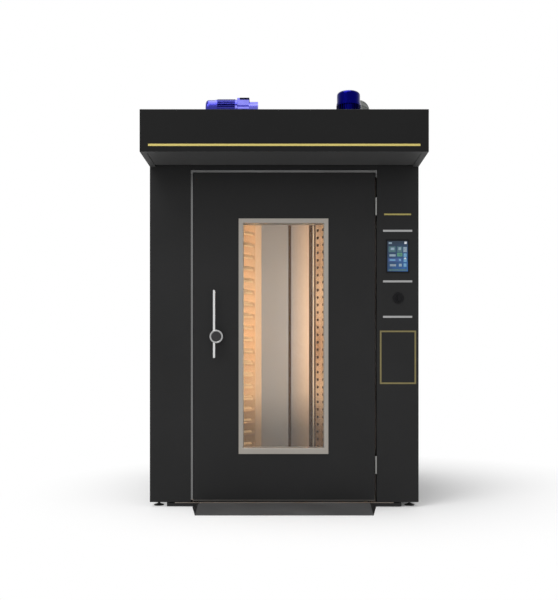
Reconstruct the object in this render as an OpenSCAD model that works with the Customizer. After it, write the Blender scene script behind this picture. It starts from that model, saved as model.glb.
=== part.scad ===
// Rotating rack oven: a free-standing baking cabinet with an insulated chamber, a swing door with a
// tall window, an extraction hood over the door, and the rack drive, fan and flue on its roof.
// Millimetres, +Z up, the door faces -Y, the origin is on the floor under the middle of the oven.

/* [Body] */
// Width of the body and of the hood
body_w = 1700; // [1660:10:1900]
// Height of the roof above the floor
body_h = 2400; // [2390:5:2600]
// Depth from the front plane to the ends of the rear fittings
body_d = 1950; // [1930:10:2200]
// How far the fittings at the back stand out behind the rear panels
rear_reach = 25; // [20:1:60]
// Height of the outer panels above the floor
skirt_clear = 30; // [28:1:50]
// Thickness of the outer sheets
sheet_t = 3; // [2:0.5:4]
// Depth of the folded edges at the front corners
fold_d = 60; // [30:5:80]
// Width of the joint between neighbouring outer panels
panel_joint = 2; // [1:0.5:6]
// Number of sheets along each side
side_sheets = 3; // [1:1:4]

/* [Hood] */
// How far the hood stands out in front of the body
hood_out = 375; // [250:5:450]
// Height of the hood's front
hood_h = 250; // [200:5:250]
// Width of the flange round the underside of the hood
hood_flange_w = 38; // [25:1:60]
// Depth of the extraction slot over the door
hood_slot_d = 40; // [20:1:80]
// Thickness of the hood's underside panel
soffit_t = 2; // [1:0.5:3]
// Height of the folded edge along the extraction slot
soffit_fold_h = 25; // [10:1:60]

/* [Door] */
// Width of the door
door_w = 1148; // [1080:2:1180]
// Distance from the underside of the hood to the top of the door
hood_gap = 37; // [34:1:80]
// Height of the outer skin's lower edge above the floor
door_lift = 45; // [42:1:60]
// Thickness of the door without its gasket
door_t = 80; // [60:1:84]
// Thickness of the door's sheets
door_sheet_t = 2; // [1:0.5:3]
// Depth of the folded edge of the outer skin
skin_fold_d = 25; // [15:1:40]
// How far the inner liner is narrower than the skin at each side
liner_inset = 9; // [8:1:20]
// Gap between the door and the trim at its closing side
door_gap = 3; // [2:0.5:6]
// Gap between the door and the control column, where the hinges stand
hinge_gap = 12; // [10:0.5:16]
// Width of the stainless trim round the door
trim_w = 13; // [8:1:20]
// How far the trim stands in front of the body
trim_proud = 3; // [1:0.5:6]
// Depth of the trim behind the front plane
trim_d = 20; // [10:1:24]
// Length of the trim's short leg above the hinges
trim_return_h = 45; // [20:1:70]
// Width of the door gasket
gasket_w = 17; // [10:1:24]
// How far the gasket's inner edge stays from the clear opening
gasket_inset = 5; // [3:1:10]
// Width of the frame that the gasket closes on
seal_flange_w = 37; // [30:1:50]
// Thickness of that frame
seal_flange_t = 5; // [3:1:8]

/* [Window] */
// Clear width of the window
window_w = 511; // [400:1:600]
// Clear height of the window
window_h = 1422; // [1100:1:1500]
// Height of the window's lower edge above the floor
window_sill = 373; // [320:1:450]
// Offset of the window from the middle of the door
window_x = -4.5; // [-20:0.5:20]
// Width of the window surround at the sides and the top
bezel_w = 28; // [20:1:45]
// Width of the window surround at the bottom
bezel_bottom_w = 38; // [20:1:60]
// How far the window surround stands in front of the door
bezel_proud = 6; // [3:0.5:12]
// Thickness of each glass pane
glass_t = 6; // [4:1:8]
// How far the panes run behind the edge of the opening
glass_lap = 15; // [8:1:25]

/* [Chamber] */
// Thickness of the insulated side walls
side_wall_t = 160; // [150:5:200]
// Inside depth of the baking chamber
chamber_d = 1380; // [1300:5:1400]
// Height of the insulated space between the air space and the roof
roof_space = 110; // [90:5:150]
// Height of the chamber floor above the ground
floor_z = 28; // [26:1:34]
// Thickness of the chamber floor plate
floor_t = 3; // [2:0.5:5]
// Thickness of the chamber's sheets
liner_t = 2; // [1:0.5:3]
// Depth of the wall between the front plane and the chamber
front_wall_d = 93; // [93:1:110]
// How much of each rear corner the slanting air columns cut off
corner_cut = 458; // [400:2:500]
// Depth of the heating duct behind the chamber
duct_d = 273; // [240:1:280]
// Height of the air space above the chamber
plenum_h = 207; // [190:1:210]

/* [Air columns] */
// Height from one outlet louvre to the next
louvre_pitch = 94; // [70:1:120]
// Height of each outlet slot
louvre_slot_h = 26; // [14:1:40]
// How far a louvre reaches into the chamber
louvre_out = 26; // [12:1:36]
// How far a louvre's lip hangs down
louvre_drop = 34; // [16:1:50]
// Distance between the holes of the return column
return_pitch = 60; // [50:1:90]
// Radius of the holes of the return column
return_hole_r = 12; // [6:0.5:18]
// Width of the narrow slot in the rear wall
slot_narrow = 15; // [8:1:24]
// Width of the wide slot in the rear wall
slot_wide = 28; // [16:1:36]
// Place of the narrow slot right of the middle
slot_x = 37; // [0:1:80]

/* [Heating and steam] */
// Radius of the heating tubes
tube_r = 8; // [5:0.5:10]
// Distance between the two legs of one hairpin
hairpin_gap = 60; // [40:1:70]
// Height from one hairpin to the next
hairpin_pitch = 120; // [110:1:150]
// Number of hairpins in each bank
hairpin_n = 8; // [4:1:8]
// Height of the lowest hairpin
heater_z = 1000; // [940:5:1050]
// Number of trays in the steam generator
tray_n = 6; // [3:1:6]
// Height from one steam tray to the next
tray_pitch = 120; // [90:5:125]
// Radius of the steam generator's round bars
steam_bar_r = 12; // [8:1:16]
// Radius of the water pipe
water_pipe_r = 8; // [6:0.5:10]
// Radius of the water inlet
water_inlet_r = 13.2; // [11:0.1:16]

/* [Fan] */
// Distance from the fan's axis to the right wall of the chamber
fan_side = 245; // [240:1:290]
// Place of the fan behind the front plane
fan_d = 500; // [460:1:505]
// Radius of the fan wheel
fan_r = 210; // [170:1:220]
// Height of the fan blades
blade_h = 90; // [60:1:100]
// Number of fan blades
blade_n = 12; // [8:1:16]
// Radius of the fan inlet
inlet_r = 150; // [120:1:155]
// Radius of the fan shaft
fan_shaft_r = 14; // [10:0.5:18]
// Radius of the fan motor over its fins
fan_motor_r = 84; // [75:1:95]
// Height of the top of the fan motor above the roof
fan_motor_h = 382; // [340:1:420]
// Height of the fan motor's stand
fan_stand_h = 100; // [80:1:120]
// Height of the fan motor's cowl
fan_cowl_h = 78; // [50:1:100]

/* [Rack drive] */
// Place of the gear motor's axis behind the front plane
gear_d = 500; // [460:1:540]
// Height of the gear motor's axis above the roof
gear_axis_h = 264; // [250:1:290]
// Place of the output shaft right of the middle
output_x = -282; // [-300:1:-260]
// Height of the gear motor's stand
gear_stand_h = 142; // [135:1:150]
// Width of the gearbox
gearbox_w = 90; // [80:1:100]
// Distance between the worm's axis and the output shaft
worm_offset = 63; // [50:1:75]
// Radius of the gear motor over its fins
gear_motor_r = 70; // [60:1:78]
// Radius of the drive pulley's belt face
drive_pulley_r = 45; // [35:1:60]
// Radius of the driven pulley's belt face
driven_pulley_r = 90; // [70:1:110]
// Width of the drive belt
belt_w = 22; // [12:1:26]
// Thickness of the drive belt
belt_t = 4; // [2:0.5:6]
// Radius of the rack shaft
rack_shaft_r = 20; // [14:1:24]
// Length of the rack carrier
carrier_l = 560; // [400:10:700]
// Distance from the chamber ceiling to the seats of the carrier's hooks
hook_drop = 140; // [120:1:180]

/* [Flue] */
// Distance from the flue's axis to the right wall of the chamber
flue_side = 151; // [130:1:160]
// Place of the flue behind the front plane
flue_d = 700; // [700:1:740]
// Outside radius of the flue
flue_r = 75; // [60:1:80]
// Thickness of the flue's sheet
flue_t = 1.5; // [1:0.5:3]
// Radius of the flue's bend along its middle
flue_bend_r = 100; // [90:1:130]
// Height of the flue outlet's axis above the roof
flue_axis_h = 343; // [330:1:380]
// Length of the straight end of the flue
flue_end_l = 70; // [60:1:100]
// Height of the damper above the roof
damper_h = 110; // [100:1:125]

/* [Hinges and handle] */
// Height of each hinge
hinge_h = 112; // [90:1:140]
// Height of the fixed part of each hinge
hinge_fixed_h = 86; // [50:1:90]
// Height of the lower hinge above the floor
hinge_low_z = 210; // [150:1:260]
// Distance from the lower end of the upper hinge to the top of the door
hinge_drop = 270; // [240:1:360]
// Radius of the hinge knuckles
knuckle_r = 5.8; // [5:0.1:6]
// Radius of the hinge pins
hinge_pin_r = 3; // [2:0.1:4]
// How far the hinge axis stands in front of the front plane
hinge_proud = 6; // [6:0.5:10]
// Distance from the handle's axis to the closing edge of the door
handle_edge = 150; // [144:1:174]
// Height of the handle's axis above the floor
handle_z = 1075; // [1000:1:1150]
// How far the bar stands beside the handle's axis
bar_offset = 12; // [0:1:20]
// Radius of the handle's bar
bar_r = 9.5; // [7:0.5:11]
// Length of the bar above the handle's axis
bar_up = 293; // [200:1:350]
// Length of the bar below the handle's axis
bar_down = 136; // [100:1:140]
// Radius of the handle's hub
hub_r = 42; // [34:1:50]
// Depth of the handle's hub
hub_t = 26; // [22:1:32]
// Distance from the door to the back of the hub
hub_gap = 50; // [40:1:60]
// Radius of the handle's spindle
spindle_r = 10; // [8:0.5:12]
// Travel of the latch bolt
bolt_travel = 22; // [14:1:22]
// Height of the latch bolt
bolt_h = 20; // [14:1:24]
// Depth of the latch bolt
bolt_t = 14; // [10:1:16]

/* [Controls] */
// Width of the touch screen
screen_w = 130; // [110:1:150]
// Height of the touch screen
screen_h = 193; // [150:1:220]
// Height of the touch screen's lower edge above the floor
screen_z = 1489; // [1480:1:1500]
// Width of the touch screen's frame
screen_rim = 9; // [6:1:12]
// Height of the main switch above the floor
switch_z = 1321; // [1300:1:1340]
// Radius of the main switch's base
switch_r = 35; // [30:1:40]
// Width of the control column that the silver strips leave free
strip_free = 79; // [60:1:120]
// Height of the silver strips
strip_h = 13; // [8:1:16]
// Thickness of the yellow markings
film_t = 0.6; // [0.4:0.1:1]

/* [Ramp and feet] */
// How far the ramp reaches in front of the oven
ramp_out = 306; // [200:1:350]
// Height of the ramp's rear edge
ramp_h = 24; // [20:1:25]
// Thickness of the ramp's plate
ramp_t = 3; // [2:0.5:4]
// Radius of the levelling feet
foot_r = 32; // [24:1:36]
// Radius of the feet's threaded studs
foot_stud_r = 8; // [6:0.5:10]

/* [Hidden] */
$fn = 64;

// Clearances: between pieces that only rest near each other, in a running fit, and past a moving piece
seat_gap = 0.3;
run_gap = 0.08;
swing_gap = 3;

// The front plane, through the outer faces of the door and the pillars
total_d = hood_out + film_t + body_d;
front_y = -total_d / 2 + hood_out + film_t;
half_w = body_w / 2;
inner_w = half_w - sheet_t;
rear_d = body_d - rear_reach;
rear_in = rear_d - sheet_t;
roof_in = body_h - sheet_t;
hood_z = body_h - hood_h;
panel_lip = 25;

// Door opening
half_door = door_w / 2;
door_top = hood_z - hood_gap;
trim_x = half_door + door_gap;
pillar_x = trim_x + trim_w;
column_x = half_door + hinge_gap;
trim_z = door_top + door_gap - 1;
header_z = trim_z + trim_w + 1;
jamb_left = trim_x;
opening_x = jamb_left - seal_flange_w;
opening_z = door_top - seal_flange_w - 1;
hinge_x = half_door + hinge_gap / 2;
handle_x = -half_door + handle_edge;
jamb_d = front_wall_d - seal_flange_t;
gasket_t = jamb_d - door_t - seat_gap;

// Chamber
half_ch = half_w - side_wall_t;
wall_x = half_ch + liner_t;
plenum_z = body_h - roof_space;
ceiling_z = plenum_z - plenum_h - floor_t;
chamber_h = ceiling_z - floor_z;
rear_wall_d = front_wall_d + liner_t + chamber_d;
duct_back = rear_wall_d + duct_d;
rack_d = front_wall_d + liner_t + chamber_d / 2;
corner_x = half_ch - corner_cut;
corner_d = rear_wall_d - corner_cut;
column_l = corner_cut * sqrt(2);
fan_x = half_ch - fan_side;
flue_x = half_ch - flue_side;
hook_z = ceiling_z - hook_drop;

// Base
plinth_w = half_w - 110;
plinth_z = 4;
plinth_top = floor_z - floor_t;
beam_z = skirt_clear + sheet_t;
beam_h = 40;
beam_t = 4;

// Blocks and rods are placed by x, by depth behind the front plane and by height
module block(x, d, z)
    translate([x[0], front_y + d[0], z[0]])
        cube([x[1] - x[0], d[1] - d[0], z[1] - z[0]]);

module post(x, d, z, r)
    translate([x, front_y + d, z[0]]) cylinder(r = r, h = z[1] - z[0]);

module stud(x, d, z, r)
    translate([x, front_y + d[0], z]) rotate([-90, 0, 0]) cylinder(r = r, h = d[1] - d[0]);

module rod(x, d, z, r)
    translate([x[0], front_y + d, z]) rotate([0, 90, 0]) cylinder(r = r, h = x[1] - x[0]);

module both_sides() {
    children();
    mirror([1, 0, 0]) children();
}

// A flat frame in the plane of the door: outer and inner corners as [x0, x1], [z0, z1]
module door_frame(x_out, z_out, x_in, z_in, d)
    difference() {
        block(x_out, d, z_out);
        block(x_in, [d[0] - 1, d[1] + 1], z_in);
    }

// ---- base

foot_x = half_w - 48;
foot_depths = [70, body_d / 2, rear_in - 70];
cross_n = 8;

module base_frame() {
    rail_w = 12;
    bar_w = 50;
    color("dimgray") {
        both_sides() {
            // channel beam that the feet carry
            difference() {
                block([plinth_w, inner_w], [sheet_t, rear_in], [beam_z, beam_z + beam_h]);
                block([plinth_w + beam_t, inner_w + 1], [0, rear_in + 1],
                      [beam_z + beam_t, beam_z + beam_h - beam_t]);
                for (d = foot_depths)
                    post(foot_x, d, [beam_z - 1, beam_z + beam_t + 1], foot_stud_r + seat_gap);
            }
            // side rail down to the plinth
            block([plinth_w - rail_w, plinth_w + beam_t / 2], [sheet_t, rear_in],
                  [plinth_z, beam_z + beam_h]);
        }
        // cross bars under the chamber floor
        for (i = [0 : cross_n]) {
            d = (rear_in - bar_w) * i / cross_n;
            block([-plinth_w + 1, plinth_w - 1], [d, d + bar_w], [plinth_z, plinth_top]);
        }
        // plinth ends at the front corners
        both_sides()
            block([plinth_w - 2 * rail_w, plinth_w], [0, 2 * bar_w], [plinth_z, plinth_top]);
    }
}

module levelling_feet() {
    pad_h = 9;
    nut_h = 10;
    nut_r = 15;
    stud_top = beam_z + beam_h - 2 * beam_t;
    color("silver")
        both_sides()
            for (d = foot_depths) {
                translate([foot_x, front_y + d, 0])
                    rotate_extrude()
                        polygon([[0, 0], [foot_r - 2, 0], [foot_r, 2], [foot_r, pad_h - 3],
                                 [foot_r * 0.6, pad_h], [foot_r * 0.4, pad_h + 4],
                                 [foot_stud_r, pad_h + 4], [foot_stud_r, stud_top - 1],
                                 [foot_stud_r - 1, stud_top], [0, stud_top]]);
                translate([foot_x, front_y + d, beam_z - nut_h])
                    difference() {
                        cylinder(r = nut_r, h = nut_h, $fn = 6);
                        translate([0, 0, -1]) cylinder(r = foot_stud_r + run_gap, h = nut_h + 2);
                    }
            }
}

module entry_ramp() {
    flare = 38;
    nose_h = 3;
    side = trim_x - 34;
    nose = side - 12;
    rib_t = 4;
    color("silver") {
        difference() {
            ramp_body(side, nose, flare, nose_h, 0);
            translate([0, 0, -0.01]) ramp_body(side, nose, flare, nose_h, ramp_t);
        }
        // stiffening ribs under the plate
        for (i = [-2 : 2])
            intersection() {
                ramp_body(side, nose, flare, nose_h, 0.5);
                block([i * side / 3 - rib_t / 2, i * side / 3 + rib_t / 2],
                      [-ramp_out, 0], [0, ramp_h]);
            }
    }
}

// Wedge with flared cheeks, smaller all round by the inset
module ramp_body(side, nose, flare, nose_h, inset) {
    back = -inset;
    rise = (ramp_h - nose_h) / ramp_out;
    hull() {
        block([-side - flare + inset, side + flare - inset], [back - 0.5, back], [0, 0.5]);
        block([-side + inset, side - inset], [back - 0.5, back], [0, ramp_h - inset]);
        block([-nose - 2 + inset, nose + 2 - inset],
              [-ramp_out + inset, -ramp_out + inset + 0.5], [0, 0.5]);
        block([-nose + inset, nose - inset], [-ramp_out + inset, -ramp_out + inset + 0.5],
              [0, max(1, nose_h + rise * inset - inset)]);
    }
}

// ---- outer panels

module cladding_panels() {
    first = fold_d + panel_joint;
    step = (rear_d - first + panel_joint) / side_sheets;
    color("dimgray") {
        both_sides() {
            for (i = [0 : side_sheets - 1])
                block([inner_w, half_w], [first + i * step, first + (i + 1) * step - panel_joint],
                      [skirt_clear, roof_in]);
            block([inner_w - panel_lip, inner_w + 1], [first, first + sheet_t],
                  [beam_z + beam_h, roof_in]);
        }
        difference() {
            both_sides()
                block([panel_joint / 2, inner_w - seat_gap], [rear_in, rear_d], [skirt_clear, roof_in]);
            stud(water_x, [rear_in - 1, rear_d + 1], water_z, water_pipe_r + 2);
            stud(gland_x, [rear_in - 1, rear_d + 1], gland_z, gland_r + 1);
        }
    }
}

module roof_panel()
    color("dimgray")
        difference() {
            block([-half_w, half_w], [0, rear_d], [roof_in, body_h]);
            post(fan_x, fan_d, [roof_in - 1, body_h + 1], fan_shaft_r + swing_gap);
            post(0, rack_d, [roof_in - 1, body_h + 1], rack_shaft_r + swing_gap);
            post(flue_x, flue_d, [roof_in - 1, body_h + 1], flue_r + seat_gap);
        }

module front_panels()
    color("dimgray") {
        // left pillar with its two folded edges
        block([-half_w, -pillar_x], [0, sheet_t], [skirt_clear, roof_in]);
        block([-half_w, -inner_w], [0, fold_d], [skirt_clear, roof_in]);
        block([-pillar_x - sheet_t, -pillar_x], [0, jamb_d - 3], [skirt_clear, roof_in]);
        // header over the door
        block([-pillar_x + seat_gap, column_x - seat_gap], [0, sheet_t], [header_z, roof_in]);
        block([-pillar_x + seat_gap, column_x - seat_gap], [0, jamb_d - 3],
              [header_z, header_z + sheet_t]);
    }

screen_cut = 5;
panel_x = (column_x + half_w) / 2 - 1;
strip_l = half_w - column_x - strip_free;

module control_column()
    color("dimgray")
        difference() {
            union() {
                block([column_x, half_w], [0, sheet_t], [skirt_clear, roof_in]);
                block([inner_w, half_w], [0, fold_d], [skirt_clear, roof_in]);
                block([column_x, column_x + sheet_t], [0, jamb_d - 3], [skirt_clear, roof_in]);
            }
            block([panel_x - screen_w / 2 - screen_cut, panel_x + screen_w / 2 + screen_cut],
                  [-1, sheet_t + 1], [screen_z - screen_cut, screen_z + screen_h + screen_cut]);
            stud(switch_x, [-1, sheet_t + 1], switch_z, switch_neck_r + seat_gap);
        }

// Trim round the door opening, and the three strips on the control column
strip_z = [screen_z + screen_h + 64, screen_z - 63, switch_z - 119];
strip_t = 1.5;

module stainless_trims()
    color("silver") {
        block([-pillar_x, -trim_x], [-trim_proud, trim_d], [door_lift, header_z]);
        block([-pillar_x, column_x], [-trim_proud, trim_d], [trim_z, header_z]);
        block([trim_x, column_x], [-trim_proud, trim_d],
              [trim_z - trim_return_h + 14, header_z]);
        for (z = strip_z)
            block([panel_x - strip_l / 2, panel_x + strip_l / 2], [-strip_t, 0],
                  [z - strip_h / 2, z + strip_h / 2]);
    }

// Yellow stripe on the hood, dash over the controls and the square outline under them
module yellow_markings() {
    stripe_l = body_w - 100;
    stripe_h = 13;
    stripe_z = hood_z + 40;
    dash_l = strip_l - 15;
    dash_h = 10;
    dash_z = strip_z[0] + 104;
    line_w = 10;
    outline_w = half_w - column_x - 35;
    outline_h = 338;
    outline_z = strip_z[2] - 87 - outline_h;
    outline_x = panel_x + 2.5 - outline_w / 2;
    color("gold") {
        block([-stripe_l / 2, stripe_l / 2], [-hood_out - film_t, -hood_out],
              [stripe_z - stripe_h / 2, stripe_z + stripe_h / 2]);
        block([panel_x - dash_l / 2, panel_x + dash_l / 2], [-film_t, 0],
              [dash_z - dash_h / 2, dash_z + dash_h / 2]);
        door_frame([outline_x, outline_x + outline_w], [outline_z, outline_z + outline_h],
                   [outline_x + line_w, outline_x + outline_w - line_w],
                   [outline_z + line_w, outline_z + outline_h - line_w], [-film_t, 0]);
    }
}

// ---- hood

module hood_shell()
    color("dimgray") {
        block([-half_w, half_w], [-hood_out, -hood_out + sheet_t], [hood_z, body_h]);
        block([-half_w, half_w], [-hood_out, 0], [roof_in, body_h]);
        block([-half_w, half_w], [-hood_out, -hood_out + hood_flange_w], [hood_z, hood_z + sheet_t]);
        both_sides() {
            block([inner_w, half_w], [-hood_out, 0], [hood_z, body_h]);
            block([half_w - hood_flange_w, half_w], [-hood_out, 0], [hood_z, hood_z + sheet_t]);
        }
    }

module hood_soffit() {
    under = hood_z + sheet_t;
    side = inner_w - seat_gap;
    front = -hood_out + sheet_t + seat_gap;
    color("gray") {
        block([-side, side], [front, -hood_slot_d], [under, under + soffit_t]);
        block([-side, side], [-hood_slot_d - soffit_t, -hood_slot_d], [under, under + soffit_fold_h]);
    }
}

// ---- insulation and chamber

module insulation_boards() {
    low = beam_z + beam_h;
    lamp_side = front_wall_d - 2;
    color("khaki")
        difference() {
            union() {
                both_sides()
                    block([wall_x, inner_w - seat_gap], [front_wall_d + liner_t, duct_back],
                          [low, roof_in - seat_gap]);
                block([-inner_w + panel_lip + seat_gap, -pillar_x - sheet_t - seat_gap],
                      [sheet_t + seat_gap, lamp_side], [low, roof_in - seat_gap]);
                block([-pillar_x + 1, column_x - 1], [sheet_t + seat_gap, lamp_side],
                      [header_z + sheet_t + seat_gap, roof_in - seat_gap]);
                block([-inner_w + seat_gap, inner_w - seat_gap],
                      [duct_back + liner_t + seat_gap, rear_in - seat_gap],
                      [low, roof_in - seat_gap]);
                block([-wall_x + seat_gap, wall_x - seat_gap],
                      [front_wall_d + liner_t, duct_back + liner_t],
                      [plenum_z + liner_t, roof_in - seat_gap]);
            }
            post(fan_x, fan_d, [plenum_z - 1, body_h], fan_shaft_r + 4 * swing_gap);
            post(0, rack_d, [plenum_z - 1, body_h], rack_shaft_r + 4 * swing_gap);
            post(flue_x, flue_d, [plenum_z - 1, body_h], flue_r + 1);
            stud(water_x, [duct_back - 1, rear_d], water_z, water_inlet_r + 2);
            stud(gland_x, [rear_in - gland_in - 5, rear_d], gland_z, gland_nut_r + 2);
        }
}

module chamber_floor()
    color("silver") block([-wall_x, wall_x], [0, duct_back + liner_t], [plinth_top, floor_z]);

module chamber_walls() {
    front = [front_wall_d, front_wall_d + liner_t];
    color("silver") {
        both_sides()
            block([half_ch, wall_x], [front_wall_d, duct_back + liner_t], [floor_z, plenum_z]);
        difference() {
            block([-half_ch + seat_gap, half_ch - seat_gap], [duct_back, duct_back + liner_t],
                  [floor_z, plenum_z]);
            stud(water_x, [duct_back - 1, duct_back + liner_t + 1], water_z, water_pipe_r + seat_gap);
        }
        block([-half_ch + seat_gap, -jamb_left - liner_t - seat_gap], front, [floor_z, plenum_z]);
        block([column_x + seat_gap, half_ch - seat_gap], front, [floor_z, plenum_z]);
        block([-jamb_left - liner_t, column_x], front, [trim_z + liner_t + seat_gap, plenum_z]);
    }
}

// Outline of the chamber in plan, with its two slanting rear corners
function chamber_plan(inset, back) = [
    [-half_ch, front_y + front_wall_d + liner_t], [half_ch, front_y + front_wall_d + liner_t],
    [half_ch, front_y + corner_d - inset], [corner_x - inset, front_y + rear_wall_d + back],
    [-corner_x + inset, front_y + rear_wall_d + back], [-half_ch, front_y + corner_d - inset]
];

module chamber_ceiling()
    color("silver")
        difference() {
            translate([0, 0, ceiling_z])
                linear_extrude(floor_t) polygon(chamber_plan(seat_gap, liner_t));
            post(fan_x, fan_d, [ceiling_z - 1, ceiling_z + floor_t + 1],
                 inlet_r + mouth + ring_t + seat_gap);
            post(0, rack_d, [ceiling_z - 1, ceiling_z + floor_t + 1], rack_shaft_r + swing_gap);
        }

module plenum_top()
    color("silver")
        difference() {
            block([-wall_x, wall_x], [front_wall_d, duct_back + liner_t],
                  [plenum_z, plenum_z + liner_t]);
            post(fan_x, fan_d, [plenum_z - 1, plenum_z + liner_t + 1], fan_shaft_r + swing_gap);
            post(0, rack_d, [plenum_z - 1, plenum_z + liner_t + 1], rack_shaft_r + swing_gap);
            post(flue_x, flue_d, [plenum_z - 1, plenum_z + liner_t + 1], flue_r - flue_t);
        }

// The slanting columns are drawn flat, with local x along the panel and y into the chamber
column_edge = 34;

module in_left_corner()
    translate([-corner_x, front_y + rear_wall_d, floor_z]) rotate([0, 0, 225]) children();

module along_column(from, to, profile)
    translate([from, 0, 0]) rotate([90, 0, 90]) linear_extrude(to - from) polygon(profile);

module outlet_column() {
    from = seat_gap;
    to = column_l - liner_t - seat_gap;
    slots = floor((chamber_h - 2 * column_edge - louvre_drop) / louvre_pitch);
    first = column_edge + louvre_slot_h;
    color("silver")
        in_left_corner() {
            difference() {
                translate([from, -liner_t, 0]) cube([to - from, liner_t, chamber_h]);
                for (i = [0 : slots])
                    translate([column_edge, -liner_t - 1, first + i * louvre_pitch - louvre_slot_h])
                        cube([to - 2 * column_edge, liner_t + 2, louvre_slot_h]);
            }
            for (i = [0 : slots]) {
                top = first + i * louvre_pitch;
                along_column(column_edge, to - column_edge,
                    [[-1, top], [louvre_out, top - louvre_drop + liner_t],
                     [louvre_out, top - louvre_drop + 2 * liner_t], [-1, top + 2 * liner_t]]);
            }
        }
}

module return_column() {
    from = seat_gap;
    to = column_l - liner_t - seat_gap;
    across = floor((to - from - 2 * column_edge) / return_pitch);
    up = floor((chamber_h - 2 * column_edge) / return_pitch);
    side = (to - from - across * return_pitch) / 2;
    color("silver")
        mirror([1, 0, 0]) in_left_corner()
            rotate([90, 0, 0])
                linear_extrude(liner_t)
                    difference() {
                        translate([from, 0]) square([to - from, chamber_h]);
                        for (i = [0 : across], j = [0 : up])
                            translate([from + side + i * return_pitch, column_edge + j * return_pitch])
                                circle(r = return_hole_r, $fn = 24);
                    }
}

// Two tray-shaped covers between the columns, with the slots beside them
module rear_covers() {
    left = [-corner_x + seat_gap + 1, slot_x];
    right = [slot_x + slot_narrow, corner_x - slot_wide - 4];
    fold = 20;
    color("silver")
        for (x = [left, right]) {
            block(x, [rear_wall_d, rear_wall_d + liner_t], [floor_z, ceiling_z]);
            for (edge = [x[0], x[1] - liner_t])
                block([edge, edge + liner_t], [rear_wall_d, rear_wall_d + fold],
                      [floor_z, ceiling_z - 1]);
        }
}

module door_jamb() {
    keeper_t = 10;
    slot = 2;
    z_slot = [handle_z - bolt_h / 2 - slot, handle_z + bolt_h / 2 + slot];
    d_slot = [bolt_d - bolt_t / 2 - slot, bolt_d + bolt_t / 2 + slot];
    reveal = [trim_d, front_wall_d + liner_t];
    flange = [jamb_d, front_wall_d];
    color("silver") {
        difference() {
            union() {
                block([-jamb_left - liner_t, -jamb_left], reveal, [floor_z, trim_z + liner_t]);
                block([-jamb_left - keeper_t, -jamb_left - 1], [d_slot[0] - 6, d_slot[1] + 6],
                      [z_slot[0] - 30, z_slot[1] + 30]);
            }
            block([-jamb_left - keeper_t - 1, -jamb_left + 1], d_slot, z_slot);
        }
        block([column_x - liner_t, column_x], [skin_fold_d, front_wall_d + liner_t],
              [floor_z, trim_z + liner_t]);
        block([-jamb_left - liner_t, column_x], reveal, [trim_z, trim_z + liner_t]);
        block([-jamb_left - 1, -opening_x], flange, [floor_z, trim_z + 1]);
        block([opening_x, column_x - 1], flange, [floor_z, trim_z + 1]);
        block([-jamb_left, column_x - 1], flange, [opening_z, trim_z + 1]);
    }
}

// Two tall lamps on the back of the front wall, beside the opening
lamp_z = [520, 1620];
lamp_w = 70;
lamp_x = half_ch - 22 - lamp_w;
lamp_d = 30;

module chamber_lamps() {
    from = lamp_x;
    face = front_wall_d + liner_t;
    rim = 8;
    glass = 4;
    color("lightyellow")
        both_sides() {
            difference() {
                block([from, from + lamp_w], [face, face + lamp_d], lamp_z);
                block([from + rim, from + lamp_w - rim], [face + 3, face + lamp_d + 1],
                      [lamp_z[0] + rim, lamp_z[1] - rim]);
            }
            block([from + 2, from + lamp_w - 2], [face + lamp_d, face + lamp_d + glass],
                  [lamp_z[0] + 2, lamp_z[1] - 2]);
            translate([from + lamp_w / 2, front_y + face + lamp_d / 2 + 1, lamp_z[0] + rim])
                cylinder(r = 9, h = lamp_z[1] - lamp_z[0] - 2 * rim);
        }
}

// ---- heating and steam

bank_depths = [rear_wall_d + 80, rear_wall_d + 160];
hairpin_x = half_ch - 90;
flange_t = 14;

module heater_bank() {
    bracket_t = 3;
    plate_low = heater_z - 40;
    plate_high = heater_z + (hairpin_n - 1) * hairpin_pitch + hairpin_gap + 40;
    color("gray") {
        for (d = bank_depths, i = [0 : hairpin_n - 1])
            hairpin(d, heater_z + i * hairpin_pitch);
        // terminal plate on the right wall of the duct
        block([half_ch - flange_t, half_ch], [bank_depths[0] - 30, bank_depths[1] + 30],
              [plate_low, plate_high]);
        // comb plates that hold the tubes
        for (x = [-hairpin_x / 2, 0, hairpin_x / 2])
            difference() {
                block([x, x + bracket_t], [bank_depths[0] - 30, duct_back], [plate_low, plate_high]);
                for (d = bank_depths, i = [0 : hairpin_n - 1], leg = [0, hairpin_gap])
                    rod([x - 1, x + bracket_t + 1], d, heater_z + i * hairpin_pitch + leg,
                        tube_r + seat_gap);
            }
    }
}

module hairpin(d, z) {
    for (leg = [0, hairpin_gap])
        rod([-hairpin_x - 1, half_ch - flange_t / 2], d, z + leg, tube_r);
    translate([-hairpin_x, front_y + d, z + hairpin_gap / 2])
        rotate([90, 0, 0]) rotate([0, 0, 90])
            rotate_extrude(angle = 180) translate([hairpin_gap / 2, 0]) circle(r = tube_r - 0.5);
}

steam_x = [half_ch - 440, half_ch - 100];
steam_d = [rear_wall_d + 50, rear_wall_d + 215];
steam_z = floor_z + 60;
water_x = steam_x[1] - 40;
water_z = steam_z + tray_n * tray_pitch + 25;

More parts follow.
